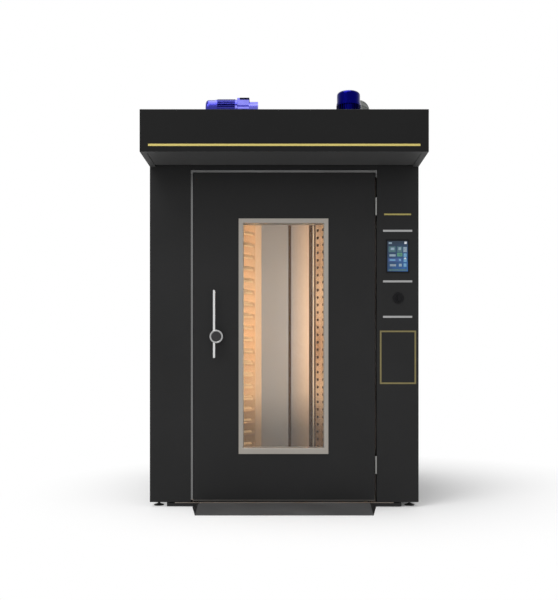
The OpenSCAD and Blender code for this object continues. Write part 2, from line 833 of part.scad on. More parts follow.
module steam_generator() {
    tray_t = 3;
    bars = 5;
    lip_h = 14;
    leg_t = 6;
    mid = (steam_d[0] + steam_d[1]) / 2;
    bar_step = (steam_d[1] - steam_d[0]) / bars;
    color("gray") {
        for (i = [0 : tray_n - 1]) {
            z = steam_z + i * tray_pitch;
            block(steam_x, steam_d, [z, z + tray_t]);
            for (d = [steam_d[0], steam_d[1] - tray_t])
                block(steam_x, [d, d + tray_t], [z, z + lip_h]);
            for (b = [0 : bars - 1])
                rod([steam_x[0] + leg_t / 2, steam_x[1] - leg_t / 2],
                    steam_d[0] + bar_step * (b + 0.5), z + tray_t + steam_bar_r - 0.5, steam_bar_r);
        }
        for (x = [steam_x[0], steam_x[1] - leg_t])
            block([x, x + leg_t], steam_d, [floor_z, water_z + water_pipe_r + 10]);
        // spray pipe over the trays, and its supply through the back
        rod([steam_x[0] + 1, water_x], mid, water_z, water_pipe_r);
        stud(water_x, [mid - water_pipe_r - 1, rear_d + 1], water_z, water_pipe_r);
        stud(water_x, [rear_d, body_d], water_z, water_inlet_r);
        stud(water_x, [mid - water_pipe_r - 3, mid + water_pipe_r + 3], water_z, water_pipe_r + 3);
    }
}

// ---- fan

ring_t = 2;
mouth = 12;
wheel_z = ceiling_z + 32;
fan_motor_z = body_h + fan_stand_h;
fan_cowl_z = body_h + fan_motor_h - fan_cowl_h;

// Flared inlet that guides the air from the chamber into the wheel
module fan_inlet_ring() {
    lip_w = 22;
    top = wheel_z - ceiling_z - swing_gap;
    wide = inlet_r + mouth;
    color("silver")
        translate([fan_x, front_y + fan_d, ceiling_z])
            rotate_extrude()
                polygon([[wide + lip_w, -ring_t], [wide + lip_w, 0], [wide + ring_t, 0],
                         [inlet_r + ring_t, mouth + ring_t], [inlet_r + ring_t, top],
                         [inlet_r, top], [inlet_r, mouth], [wide, -ring_t]]);
}

// Backward-curved wheel: back plate, front ring, arc-shaped blades and a hub on the motor shaft
module fan_impeller() {
    plate_t = 3;
    hub_outer = fan_shaft_r + 16;
    hub_h = 46;
    top = wheel_z + blade_h;
    color("silver")
        translate([fan_x, front_y + fan_d, 0]) {
            translate([0, 0, top - plate_t]) cylinder(r = fan_r, h = plate_t);
            translate([0, 0, top - hub_h]) cylinder(r = hub_outer, h = hub_h + 14);
            translate([0, 0, wheel_z])
                difference() {
                    cylinder(r = fan_r, h = plate_t);
                    translate([0, 0, -1]) cylinder(r = inlet_r + 6, h = plate_t + 2);
                }
            translate([0, 0, wheel_z + 1]) linear_extrude(blade_h - 2) fan_blades();
            translate([0, 0, top - hub_h / 2])
                cylinder(r = fan_shaft_r, h = fan_motor_z + 90 - top + hub_h / 2);
        }
}

module fan_blades() {
    blade_t = 3;
    arc_r = fan_r * 0.62;
    arc_x = fan_r * 0.5;
    intersection() {
        for (i = [0 : blade_n - 1])
            rotate(i * 360 / blade_n)
                intersection() {
                    translate([arc_x, -arc_r * 0.8])
                        difference() {
                            circle(r = arc_r);
                            circle(r = arc_r - blade_t);
                        }
                    square([fan_r, fan_r]);
                }
        difference() {
            circle(r = fan_r - 1);
            circle(r = inlet_r * 0.75);
        }
    }
}

// ---- motors on the roof

output_d = gear_d + worm_offset;
stand_z = body_h + gear_stand_h;
stand_t = 6;
gearbox_top = body_h + gear_axis_h + gear_motor_r - 1;
gearbox_x = [output_x - gearbox_w / 2, output_x + gearbox_w / 2];
motor_end = gearbox_x[0] - 10;
gear_frame_l = 135;
gear_cowl_l = 69;

module motor_stands() {
    plate = fan_motor_r + 11;
    leg_w = 30;
    foot_l = 40;
    x = [gearbox_x[0] - 20, gearbox_x[1] + 12];
    d = [gear_d - 70, output_d + 70];
    color("dimgray") {
        difference() {
            union() {
                block([fan_x - plate, fan_x + plate], [fan_d - plate, fan_d + plate],
                      [fan_motor_z - stand_t, fan_motor_z]);
                for (left = [fan_x - plate, fan_x + plate - stand_t],
                     front = [fan_d - plate, fan_d + plate - leg_w])
                    block([left, left + stand_t], [front, front + leg_w], [body_h, fan_motor_z - 1]);
                for (left = [fan_x - plate, fan_x + plate - leg_w])
                    block([left, left + leg_w], [fan_d - plate, fan_d + plate],
                          [body_h, body_h + stand_t]);
            }
            post(fan_x, fan_d, [fan_motor_z - stand_t - 1, fan_motor_z + 1], fan_shaft_r + swing_gap);
        }
        // bracket for the gear motor, open towards the belt
        difference() {
            union() {
                block(x, d, [stand_z - stand_t, stand_z]);
                block(x, [d[0], d[0] + stand_t], [body_h, stand_z - 1]);
                block([x[0], x[0] + stand_t], d, [body_h, stand_z - 1]);
                block(x, [d[0] - foot_l, d[0] + 1], [body_h, body_h + stand_t]);
                block([x[0] - foot_l, x[0] + 1], d, [body_h, body_h + stand_t]);
            }
            post(output_x, output_d, [stand_z - stand_t - 1, stand_z + 1], output_r + swing_gap);
        }
    }
}

// Cross-section of a ribbed motor housing
module finned(r, fins, root) {
    circle(r = root);
    for (i = [0 : fins - 1])
        rotate((i + 0.5) * 360 / fins) translate([0, -1.5]) square([r, 3]);
}

module motor_frames() {
    flange_r = fan_motor_r + 14;
    flange_h = 12;
    box = [60, 46, 44];
    color("royalblue") {
        translate([fan_x, front_y + fan_d, 0])
            difference() {
                union() {
                    translate([0, 0, fan_motor_z]) cylinder(r = flange_r, h = flange_h);
                    translate([0, 0, fan_motor_z + flange_h - 1])
                        linear_extrude(fan_cowl_z - fan_motor_z - flange_h - 9)
                            finned(fan_motor_r, 32, fan_motor_r - 13);
                    translate([0, 0, fan_cowl_z - 16]) cylinder(r = fan_motor_r - 1, h = 16);
                    translate([-box[0], fan_motor_r - 14, fan_motor_z + 60])
                        cube([2 * box[0], box[1], 2 * box[2]]);
                }
                translate([0, 0, fan_motor_z - 1])
                    cylinder(r = fan_shaft_r + seat_gap, h = 100);
            }
        translate([motor_end, front_y + gear_d, body_h + gear_axis_h])
            rotate([0, -90, 0]) {
                linear_extrude(gear_frame_l - 12) finned(gear_motor_r, 28, gear_motor_r - 11);
                translate([0, 0, gear_frame_l - 13]) cylinder(r = gear_motor_r - 2, h = 13);
            }
        block([motor_end - 100, motor_end - 24], [gear_d + gear_motor_r - 14, gear_d + gear_motor_r + 34],
              [body_h + gear_axis_h - 40, body_h + gear_axis_h + 40]);
    }
}

// Fan cowl with a rounded edge and radial air slots in its end
module cowl(r, h) {
    wall = 2;
    round = 22;
    slots = 14;
    difference() {
        rotate_extrude() {
            difference() {
                union() {
                    square([r, h - round]);
                    square([r - round, h]);
                    translate([r - round, h - round]) circle(r = round);
                }
                translate([-1, -1]) square([r - wall + 1, h - round + 1]);
                translate([-1, -1]) square([r - round + 1, h - wall + 1]);
                translate([r - round, h - round]) circle(r = round - wall);
                translate([-2 * r, -1]) square([2 * r, 2 * h]);
            }
        }
        for (i = [0 : slots - 1])
            rotate(i * 360 / slots) translate([r * 0.22, -2.5, h - wall - 1])
                cube([r * 0.4, 5, wall + 2]);
    }
}

module motor_cowls()
    color("royalblue") {
        translate([fan_x, front_y + fan_d, fan_cowl_z]) cowl(fan_motor_r - 4, fan_cowl_h);
        translate([motor_end - gear_frame_l, front_y + gear_d, body_h + gear_axis_h])
            rotate([0, -90, 0]) cowl(gear_motor_r - 5, gear_cowl_l);
    }

output_r = 12.5;
pulley_z = body_h + 46;
pulley_h = belt_w + 8;

// Worm gear housing with its input flange, bearing cap and vent cap
module gearbox() {
    wheel_r = gearbox_w / 2 + 9;
    worm_r = 50;
    cap_r = 53;
    cap_l = 56;
    axis_z = body_h + gear_axis_h;
    color("royalblue")
        difference() {
            union() {
                block([gearbox_x[0] - 5, gearbox_x[1] + 5], [gear_d - 50, output_d + 62],
                      [stand_z, stand_z + 16]);
                post(output_x, output_d, [stand_z + 1, axis_z + 42], wheel_r);
                rod(gearbox_x, gear_d, axis_z, worm_r);
                block([gearbox_x[0] + 4, gearbox_x[1] - 4], [gear_d - 46, output_d + 20],
                      [stand_z + 15, gearbox_top]);
                rod([motor_end, gearbox_x[0] + 5], gear_d, axis_z, gear_motor_r - 2);
                rod([gearbox_x[1] - 5, gearbox_x[1] + cap_l], gear_d, axis_z, cap_r);
                post(output_x + 8, gear_d + 12, [gearbox_top - 1, gearbox_top + 9], 31);
            }
            post(output_x, output_d, [stand_z - 1, stand_z + 62], output_r + seat_gap);
        }
}

// ---- rack drive

// Flanged belt pulley around the z axis
module pulley(face_r, hub_r) {
    rim = 4;
    web_t = 8;
    rotate_extrude()
        polygon([
            [0, 0], [face_r + rim, 0], [face_r + rim, 2], [face_r, rim],
            [face_r, pulley_h - rim], [face_r + rim, pulley_h - 2], [face_r + rim, pulley_h],
            [face_r - 8, pulley_h], [face_r - 8, (pulley_h + web_t) / 2],
            [hub_r, (pulley_h + web_t) / 2], [hub_r, pulley_h], [0, pulley_h]
        ]);
}

module drive_pulley()
    color("gray") {
        translate([output_x, front_y + output_d, pulley_z]) pulley(drive_pulley_r, output_r + 10);
        post(output_x, output_d, [pulley_z - 8, stand_z + 60], output_r);
    }

module driven_pulley() {
    hub_outer = rack_shaft_r + 14;
    hole_r = (driven_pulley_r - 8 - hub_outer) * 0.36;
    hole_at = (driven_pulley_r - 8 + hub_outer) / 2;
    color("gray")
        translate([0, front_y + rack_d, pulley_z])
            difference() {
                pulley(driven_pulley_r, hub_outer);
                translate([0, 0, -1]) cylinder(r = rack_shaft_r + run_gap, h = pulley_h + 2);
                for (i = [0 : 5])
                    rotate(i * 60) translate([hole_at, 0, -1]) cylinder(r = hole_r, h = pulley_h + 2);
            }
}

module belt_outline(grow) {
    hull() {
        translate([output_x, front_y + output_d]) circle(r = drive_pulley_r + grow);
        translate([0, front_y + rack_d]) circle(r = driven_pulley_r + grow);
    }
}

module drive_belt()
    color("black")
        translate([0, 0, pulley_z + (pulley_h - belt_w) / 2])
            linear_extrude(belt_w)
                difference() {
                    belt_outline(seat_gap + belt_t);
                    belt_outline(seat_gap);
                }

module rack_bearing() {
    flange = 80;
    flange_h = 8;
    color("gray")
        difference() {
            union() {
                block([-flange, flange], [rack_d - flange, rack_d + flange],
                      [body_h, body_h + flange_h]);
                translate([0, front_y + rack_d, body_h + flange_h - 1])
                    rotate_extrude()
                        polygon([[0, 0], [rack_shaft_r + 34, 0], [rack_shaft_r + 26, 22],
                                 [rack_shaft_r + 20, 33], [0, 33]]);
            }
            post(0, rack_d, [body_h - 1, pulley_z], rack_shaft_r + run_gap);
            for (x = [-1, 1], y = [-1, 1])
                post(x * (flange - 16), rack_d + y * (flange - 16), [body_h - 1, body_h + flange_h + 1], 6);
        }
}

carrier_z = [hook_z + 45, hook_z + 85];

module rack_shaft() {
    collar_h = 5.5;
    color("silver") {
        post(0, rack_d, [carrier_z[0] + 15, pulley_z + pulley_h + 12], rack_shaft_r);
        post(0, rack_d, [pulley_z - collar_h, pulley_z], rack_shaft_r + 12);
    }
}

// Cross bar with a hook at each end, which lift and turn the rack
module rack_carrier() {
    bar_w = 30;
    hook_t = 24;
    end = carrier_l / 2;
    color("silver")
        difference() {
            union() {
                block([-end, end], [rack_d - bar_w, rack_d + bar_w], [carrier_z[0], carrier_z[1] - 10]);
                post(0, rack_d, [carrier_z[0], carrier_z[1] + 15], rack_shaft_r + 18);
                both_sides()
                    translate([end, front_y + rack_d, hook_z])
                        rotate([90, 0, 0])
                            linear_extrude(2 * hook_t, center = true)
                                polygon([[-12, 70], [-12, 0], [-62, 0], [-62, 34],
                                         [-50, 34], [-50, 14], [-26, 14], [-26, 50]]);
            }
            post(0, rack_d, [carrier_z[0] + 15, carrier_z[1] + 16], rack_shaft_r + run_gap);
        }
}

// ---- flue

bend_z = body_h + flue_axis_h - flue_bend_r;
damper_z = body_h + damper_h;
damper_shaft_r = 5;

module flue_pipe() {
    flange = 18;
    color("darkgray")
        difference() {
            union() {
                post(flue_x, flue_d, [plenum_z + liner_t, bend_z], flue_r);
                post(flue_x, flue_d, [body_h, body_h + 3], flue_r + flange);
            }
            post(flue_x, flue_d, [plenum_z, bend_z + 1], flue_r - flue_t);
            rod([flue_x - flue_r - 1, flue_x + flue_r + 1], flue_d, damper_z,
                damper_shaft_r + seat_gap);
        }
}

// Quarter bend towards the back, with a straight end for the outlet duct
module flue_elbow() {
    wall = flue_t + 0.5;
    bend_outer = flue_r + 1.5;
    end_d = flue_d + flue_bend_r;
    color("darkgray") {
        translate([flue_x, front_y + end_d, bend_z])
            rotate([0, 0, -90]) rotate([90, 0, 0])
                rotate_extrude(angle = 90)
                    translate([flue_bend_r, 0])
                        difference() {
                            circle(r = bend_outer);
                            circle(r = bend_outer - wall);
                        }
        difference() {
            stud(flue_x, [end_d - 1, end_d + flue_end_l], bend_z + flue_bend_r, flue_r);
            stud(flue_x, [end_d - 2, end_d + flue_end_l + 1], bend_z + flue_bend_r, flue_r - flue_t);
        }
    }
}

module flue_damper() {
    plate_t = 2;
    plate_r = flue_r - flue_t - 1;
    lever_x = flue_x + flue_r + 6;
    color("darkgray") {
        post(flue_x, flue_d, [damper_z - plate_t / 2, damper_z + plate_t / 2], plate_r);
        rod([flue_x - flue_r - 4, lever_x + 6], flue_d, damper_z, damper_shaft_r);
        block([lever_x, lever_x + 6], [flue_d - 10, flue_d + 70], [damper_z - 9, damper_z + 9]);
        rod([lever_x + 1, lever_x + 34], flue_d + 60, damper_z, 8);
    }
}

// ---- door

window = [window_x - window_w / 2, window_x + window_w / 2];
window_z = [window_sill, window_sill + window_h];
liner_x = half_door - liner_inset;
liner_z = [door_lift + 5, door_top - 8];
bolt_d = 46;
case_x = [handle_x - 110, handle_x + 40];
case_d = [bolt_d - 16, bolt_d + 16];
case_z = [handle_z - 45, handle_z + 45];

function widened(range, by) = [range[0] - by, range[1] + by];

module door_skin()
    color("dimgray")
        difference() {
            block([-half_door, half_door], [0, skin_fold_d], [door_lift, door_top]);
            block([-half_door + door_sheet_t, half_door - door_sheet_t], [door_sheet_t, skin_fold_d + 1],
                  [door_lift + door_sheet_t, door_top - door_sheet_t]);
            block(widened(window, 2), [-1, door_sheet_t + 1], widened(window_z, 2));
            stud(handle_x, [-1, door_sheet_t + 1], handle_z, spindle_r + 2);
        }

module door_liner() {
    back = [door_t - door_sheet_t, door_t];
    sweep_h = 6;
    color("silver")
        difference() {
            union() {
                difference() {
                    block([-liner_x, liner_x], [skin_fold_d, door_t], liner_z);
                    block([-liner_x + door_sheet_t, liner_x - door_sheet_t],
                          [skin_fold_d - 1, back[0]], widened(liner_z, -door_sheet_t));
                }
                // flange that meets the folded edge of the skin
                door_frame([-half_door + 1, half_door - 1], [door_lift, door_top - 1],
                           [-liner_x + door_sheet_t, liner_x - door_sheet_t],
                           widened(liner_z, -door_sheet_t),
                           [skin_fold_d, skin_fold_d + door_sheet_t]);
                // drip edge under the skin
                block([-half_door + 1, half_door - 1], [0, skin_fold_d + door_sheet_t],
                      [door_lift - sweep_h, door_lift]);
            }
            block(widened(window, glass_lap + 1), [back[0] - 1, door_t + 1],
                  widened(window_z, glass_lap + 1));
            block([-liner_x - 1, -liner_x + door_sheet_t + 1], widened(case_d, -8),
                  [handle_z - bolt_h / 2 - 1, handle_z + bolt_h / 2 + 1]);
        }
}

module door_core()
    color("khaki")
        difference() {
            block([-liner_x + door_sheet_t, liner_x - door_sheet_t],
                  [door_sheet_t, door_t - door_sheet_t], widened(liner_z, -door_sheet_t));
            block(widened(window, glass_lap + 2), [0, door_t], widened(window_z, glass_lap + 2));
            block([-half_door, case_x[1] + 1], widened(case_d, 1), widened(case_z, 1));
            stud(handle_x, [0, case_d[1]], handle_z, spindle_r + 4);
        }

// Silicone seal round three sides, and a lip that wipes the floor plate
module door_gasket() {
    outer = opening_x + gasket_inset + gasket_w;
    inner = opening_x + gasket_inset;
    top = opening_z + gasket_inset;
    ring = [door_t, door_t + gasket_t];
    color("black") {
        difference() {
            block([-outer, outer], ring, [liner_z[0] + 1, top + gasket_w]);
            block([-inner, inner], [ring[0] - 1, ring[1] + 1], [liner_z[0], top]);
        }
        block([-opening_x, opening_x], [6, 14], [floor_z + 2, door_lift - 6]);
    }
}

// Mitred surround with a bevel towards the glass
module window_bezel() {
    outer_x = widened(window, bezel_w);
    outer_z = [window_z[0] - bezel_bottom_w, window_z[1] + bezel_w];
    bevel = 9;
    color("lightgray")
        difference() {
            block(outer_x, [-bezel_proud, 0], outer_z);
            block(window, [-bezel_proud - 1, 1], window_z);
            // bevelled inner edge
            hull() {
                block(widened(window, bevel), [-bezel_proud - 0.01, -bezel_proud],
                      widened(window_z, bevel));
                block(window, [-2, -1], window_z);
            }
        }
}

// Lining of the window opening, and the frame that holds the inner pane
module window_tunnel() {
    outer_x = widened(window, glass_lap);
    outer_z = widened(window_z, glass_lap);
    retainer_t = 3;
    color("silver") {
        door_frame(widened(window, door_sheet_t), widened(window_z, door_sheet_t), window, window_z,
                   [door_sheet_t + glass_t, door_t - glass_t]);
        door_frame(widened(outer_x, 16), widened(outer_z, 16), window, window_z,
                   [door_t, door_t + retainer_t]);
    }
}

module door_glass()
    color("lightblue", 0.4)
        for (d = [door_sheet_t, door_t - glass_t])
            block(widened(window, glass_lap), [d, d + glass_t], widened(window_z, glass_lap));

// ---- hinges

leaf_t = 2.5;
leaf_d = 22;
knuckle_gap = 0.6;
hinge_starts = [hinge_low_z, door_top - hinge_drop];

module knuckle(z, h)
    translate([hinge_x, front_y - hinge_proud, z])
        difference() {
            cylinder(r = knuckle_r, h = h);
            translate([0, 0, -1]) cylinder(r = hinge_pin_r + run_gap, h = h + 2);
        }

module hinge_leaf(x, z, h)
    difference() {
        block(x, [-hinge_proud / 3, leaf_d], [z, z + h]);
        post(hinge_x, -hinge_proud, [z - 1, z + h + 1], hinge_pin_r + run_gap);
    }

module hinge_frame_leaves()
    color("silver")
        for (z = hinge_starts) {
            knuckle(z, hinge_fixed_h);
            hinge_leaf([column_x - leaf_t, column_x], z, hinge_fixed_h);
        }

module hinge_door_leaves()
    color("silver")
        for (z = hinge_starts) {
            knuckle(z + hinge_fixed_h + knuckle_gap, hinge_h - hinge_fixed_h - knuckle_gap);
            hinge_leaf([half_door, half_door + leaf_t], z + hinge_fixed_h + knuckle_gap,
                       hinge_h - hinge_fixed_h - knuckle_gap);
        }

module hinge_pins()
    color("silver")
        for (z = hinge_starts)
            post(hinge_x, -hinge_proud, [z + 1, z + hinge_h - 1], hinge_pin_r);

// ---- handle and latch

boss_t = 12;

module handle_escutcheon()
    color("silver")
        translate([handle_x, front_y, handle_z])
            rotate([90, 0, 0])
                rotate_extrude()
                    polygon([[spindle_r + seat_gap, 0], [32, 0], [32, 6], [26, boss_t],
                             [spindle_r + seat_gap, boss_t]]);

// Bar with its hub, its neck and the spindle that runs through the door to the latch
module handle_lever() {
    hub_d = -hub_gap - hub_t;
    chamfer = 3;
    bar_l = bar_up + bar_down;
    color("gainsboro") {
        translate([handle_x - bar_offset, front_y + hub_d + hub_t - bar_r - 2, handle_z - bar_down])
            rotate_extrude()
                polygon([[0, 0], [bar_r - chamfer, 0], [bar_r, chamfer], [bar_r, bar_l - chamfer],
                         [bar_r - chamfer, bar_l], [0, bar_l]]);
        translate([handle_x, front_y, handle_z])
            rotate([90, 0, 0])
                rotate_extrude()
                    polygon([[0, hub_gap], [hub_r - 2, hub_gap], [hub_r, hub_gap + 2],
                             [hub_r, hub_gap + hub_t - 1], [hub_r - 1, hub_gap + hub_t],
                             [hub_r - 7, hub_gap + hub_t], [hub_r - 8, hub_gap + hub_t - 3],
                             [0, hub_gap + hub_t - 3]]);
        stud(handle_x, [-hub_gap - 1, -boss_t - seat_gap], handle_z, spindle_r + 5);
        stud(handle_x, [-hub_gap, bolt_d - bolt_t / 2 - 1], handle_z, spindle_r);
    }
}

// Plain disc inside the hub's ring
module handle_cap()
    color("dimgray")
        translate([handle_x, front_y - hub_gap - hub_t + 3, handle_z])
            rotate([90, 0, 0])
                rotate_extrude()
                    polygon([[0, 0], [hub_r - 9, 0], [hub_r - 9, 1], [11, 2], [11, 3.5], [0, 3.5]]);

module latch_case()
    color("gray")
        difference() {
            block(case_x, case_d, case_z);
            block([case_x[0] - 1, case_x[1] - 4],
                  [bolt_d - bolt_t / 2 - seat_gap, bolt_d + bolt_t / 2 + seat_gap],
                  [handle_z - bolt_h / 2 - seat_gap, handle_z + bolt_h / 2 + seat_gap]);
            stud(handle_x, [case_d[0] - 1, bolt_d], handle_z, spindle_r + seat_gap);
        }

// Bolt with a bevelled nose, drawn back at rest
module latch_bolt() {
    nose = 6;
    x = [-liner_x + 1, case_x[1] - 6 - bolt_travel];
    y = [front_y + bolt_d - bolt_t / 2, front_y + bolt_d + bolt_t / 2];
    color("silver")
        translate([0, 0, handle_z - bolt_h / 2])
            linear_extrude(bolt_h)
                polygon([[x[0], y[1]], [x[0], y[0] + nose], [x[0] + nose, y[0]],
                         [x[1], y[0]], [x[1], y[1]]]);
}

// ---- controls

switch_x = panel_x + 4;
switch_neck_r = 11;
knob_shaft_r = 4;

module touchscreen_unit() {
    x = [panel_x - screen_w / 2, panel_x + screen_w / 2];
    z = [screen_z, screen_z + screen_h];
    color("black")
        difference() {
            union() {
                block(widened(x, screen_rim), [-3, 0], widened(z, screen_rim));
                block(widened(x, screen_cut - 1), [-1, 48], widened(z, screen_cut - 1));
            }
            block(x, [-4, -1], z);
        }
}

module touchscreen_glass()
    color("navy")
        block([panel_x - screen_w / 2 + seat_gap, panel_x + screen_w / 2 - seat_gap], [-2.6, -1],
              [screen_z + seat_gap, screen_z + screen_h - seat_gap]);

// Base plate on the panel, with the switch body behind it
module main_switch() {
    base_t = 7;
    color("black")
        translate([switch_x, front_y, switch_z])
            difference() {
                union() {
                    rotate([90, 0, 0])
                        rotate_extrude()
                            polygon([[0, 0], [switch_r, 0], [switch_r, 4], [switch_r - 3, base_t],
                                     [0, base_t]]);
                    rotate([-90, 0, 0]) translate([0, 0, -1]) cylinder(r = switch_neck_r, h = 10);
                    translate([-24, sheet_t, -24]) cube([48, 46, 48]);
                }
                rotate([90, 0, 0]) translate([0, 0, -30]) cylinder(r = knob_shaft_r + run_gap, h = 60);
            }
}

module main_switch_knob() {
    base_t = 7;
    knob_r = switch_r * 0.56;
    grip_h = 20;
    color("black")
        translate([switch_x, front_y - base_t - seat_gap, switch_z])
            rotate([90, 0, 0]) {
                rotate_extrude()
                    polygon([[0, 0], [knob_r, 0], [knob_r, 6], [knob_r - 2, 8], [0, 8]]);
                translate([-5, -knob_r + 1.5, 7]) cube([10, 2 * knob_r - 3, grip_h - 7]);
                translate([0, 0, -20]) cylinder(r = knob_shaft_r, h = 22);
            }
}

// Contactors and terminals on their plate behind the control column
module switchgear() {
    plate_x = [column_x + 14, inner_w - 12];
    plate_z = [switch_z - 900, switch_z - 180];
    plate_d = [front_wall_d - liner_t, front_wall_d];
    step = (plate_x[1] - plate_x[0] - 20) / 4;
    color("lightgray") {
        block(plate_x, plate_d, plate_z);
        for (row = [0 : 2], i = [0 : 3]) {
            x = plate_x[0] + 12 + i * step;
            z = plate_z[0] + 300 + row * 130;
            block([x, x + step - 8], [plate_d[0] - 52, plate_d[0]], [z, z + 78]);
            block([x + 6, x + step - 14], [plate_d[0] - 64, plate_d[0] - 51], [z + 20, z + 58]);
        }
        for (i = [0 : 9]) {
            x = plate_x[0] + 12 + i * step * 0.38;
            block([x, x + step * 0.3], [plate_d[0] - 34, plate_d[0]],
                  [plate_z[0] + 120, plate_z[0] + 166]);
        }
    }
}

// ---- fittings at the back

gland_r = 20;
gland_nut_r = 29;
gland_in = 12;
gland_bore_r = 12.5;
gland_x = inner_w - 87;
gland_z = body_h - 240;

// Gland for the supply, with its lock nut inside
module cable_gland()
    color("gray")
        translate([gland_x, front_y, gland_z])
            rotate([-90, 0, 0])
                difference() {
                    union() {
                        translate([0, 0, rear_in - gland_in])
                            cylinder(r = gland_r, h = gland_in + sheet_t + 1);
                        translate([0, 0, rear_in - gland_in + 2])
                            cylinder(r = gland_nut_r, h = gland_in - 2, $fn = 6);
                        translate([0, 0, rear_d]) cylinder(r = gland_nut_r, h = 10, $fn = 6);
                        translate([0, 0, rear_d + 9])
                            cylinder(r = gland_r - 1, h = rear_reach - 9);
                    }
                    translate([0, 0, rear_in - gland_in - 1])
                        cylinder(r = gland_bore_r, h = gland_in + sheet_t + rear_reach + 2);
                }

// Button-head screws of the side, rear and roof panels
module panel_screws() {
    head_r = 6;
    head_h = 2;
    rows = 6;
    color("silver")
        for (i = [0 : rows]) {
            z = skirt_clear + 60 + i * (roof_in - skirt_clear - 120) / rows;
            for (x = [-half_w + 30, -30, 30, half_w - 30])
                stud(x, [rear_d, rear_d + head_h], z, head_r);
            for (x = [-half_w + 120, -half_w / 2, 0, half_w / 2, half_w - 120])
                if (i < 2)
                    post(x, 60 + i * (rear_d - 120), [body_h, body_h + head_h], head_r);
        }
}

base_frame();
levelling_feet();
cladding_panels();
roof_panel();
front_panels();
control_column();
stainless_trims();
insulation_boards();
chamber_floor();
chamber_walls();
chamber_ceiling();
plenum_top();
outlet_column();
return_column();
rear_covers();
heater_bank();
steam_generator();
door_jamb();
chamber_lamps();
fan_inlet_ring();
fan_impeller();
motor_stands();
motor_frames();
motor_cowls();
gearbox();
drive_pulley();
drive_belt();
driven_pulley();
rack_bearing();
rack_shaft();
rack_carrier();
flue_pipe();
flue_elbow();
flue_damper();
hood_shell();
hood_soffit();
yellow_markings();
door_skin();
door_core();
door_liner();
door_gasket();
window_bezel();
window_tunnel();
door_glass();
hinge_frame_leaves();
hinge_door_leaves();
hinge_pins();
handle_escutcheon();
handle_lever();
handle_cap();
latch_case();
latch_bolt();
touchscreen_unit();
touchscreen_glass();
main_switch();
main_switch_knob();
switchgear();
entry_ramp();
panel_screws();
cable_gland();
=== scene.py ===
import math

import bpy
from mathutils import Euler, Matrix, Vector


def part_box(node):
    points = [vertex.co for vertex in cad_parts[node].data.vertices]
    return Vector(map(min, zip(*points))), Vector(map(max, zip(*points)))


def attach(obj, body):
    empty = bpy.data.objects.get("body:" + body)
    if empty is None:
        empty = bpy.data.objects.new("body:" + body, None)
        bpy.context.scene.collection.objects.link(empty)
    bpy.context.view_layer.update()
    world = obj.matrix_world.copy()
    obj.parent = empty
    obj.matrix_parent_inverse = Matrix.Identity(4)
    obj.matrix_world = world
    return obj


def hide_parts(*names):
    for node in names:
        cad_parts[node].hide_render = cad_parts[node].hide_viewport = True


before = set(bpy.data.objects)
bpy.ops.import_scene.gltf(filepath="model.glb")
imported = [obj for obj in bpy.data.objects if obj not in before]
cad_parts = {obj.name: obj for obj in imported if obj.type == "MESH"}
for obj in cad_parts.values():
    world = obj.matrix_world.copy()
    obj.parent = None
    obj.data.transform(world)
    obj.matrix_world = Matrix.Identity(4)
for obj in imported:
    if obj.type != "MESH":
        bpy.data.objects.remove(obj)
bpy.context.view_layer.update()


# ---- Outer sheets
# The body is clad in folded 3 mm steel sheets, powder-coated in dark grey. The side sheets, the roof, the
# pillar, the header and the control column are screwed to the base frame, with a 2 mm joint between
# neighbours.

def put(tree, kind, values=None, **settings):
    """Adds a shader node, sets its properties, and gives its sockets their values by name or number."""
    node = tree.nodes.new(kind)
    for key, value in settings.items():
        setattr(node, key, value)
    for key, value in (values or {}).items():
        node.inputs[key].default_value = value
    return node


def wire(tree, *pairs):
    """Joins sockets: each pair is an output and an input."""
    for source, target in pairs:
        tree.links.new(source, target)


def new_group(name, inputs, outputs):
    """An empty node group; inputs and outputs map a socket's name to its kind."""
    group = bpy.data.node_groups.new(name, "ShaderNodeTree")
    for way, sockets in (("INPUT", inputs), ("OUTPUT", outputs)):
        for label, kind in sockets.items():
            group.interface.new_socket(label, in_out=way, socket_type="NodeSocket" + kind)
    return group, put(group, "NodeGroupInput").outputs, put(group, "NodeGroupOutput").inputs


def brighten(tree, colour, amount):
    """The colour made lighter or darker by an amount round 1."""
    scale = put(tree, "ShaderNodeVectorMath", operation="SCALE")
    wire(tree, (colour, scale.inputs[0]), (amount, scale.inputs["Scale"]))
    return scale.outputs[0]


def spread(tree, value, low, high, from_low=0.3, from_high=0.7):
    """A value moved to another range; low and high may be numbers or sockets."""
    ramp = put(tree, "ShaderNodeMapRange", {1: from_low, 2: from_high})
    wire(tree, (value, ramp.inputs[0]))
    for number, end in ((3, low), (4, high)):
        if isinstance(end, (int, float)):
            ramp.inputs[number].default_value = end
        else:
            wire(tree, (end, ramp.inputs[number]))
    return ramp.outputs[0]


def times(tree, value, factor, operation="MULTIPLY"):
    """Two values multiplied, or combined in another way."""
    sum_node = put(tree, "ShaderNodeMath", operation=operation)
    for number, part in enumerate((value, factor)):
        if isinstance(part, (int, float)):
            sum_node.inputs[number].default_value = part
        else:
            wire(tree, (part, sum_node.inputs[number]))
    return sum_node.outputs[0]


def noise(tree, place, scale, detail=2.0, rough=0.5):
    """Cloudy noise at a place."""
    cloud = put(tree, "ShaderNodeTexNoise", {"Detail": detail, "Roughness": rough})
    wire(tree, (place, cloud.inputs["Vector"]))
    if isinstance(scale, (int, float)):
        cloud.inputs["Scale"].default_value = scale
    else:
        wire(tree, (scale, cloud.inputs["Scale"]))
    return cloud.outputs[0]


def object_place(tree):
    return put(tree, "ShaderNodeTexCoord").outputs["Object"]


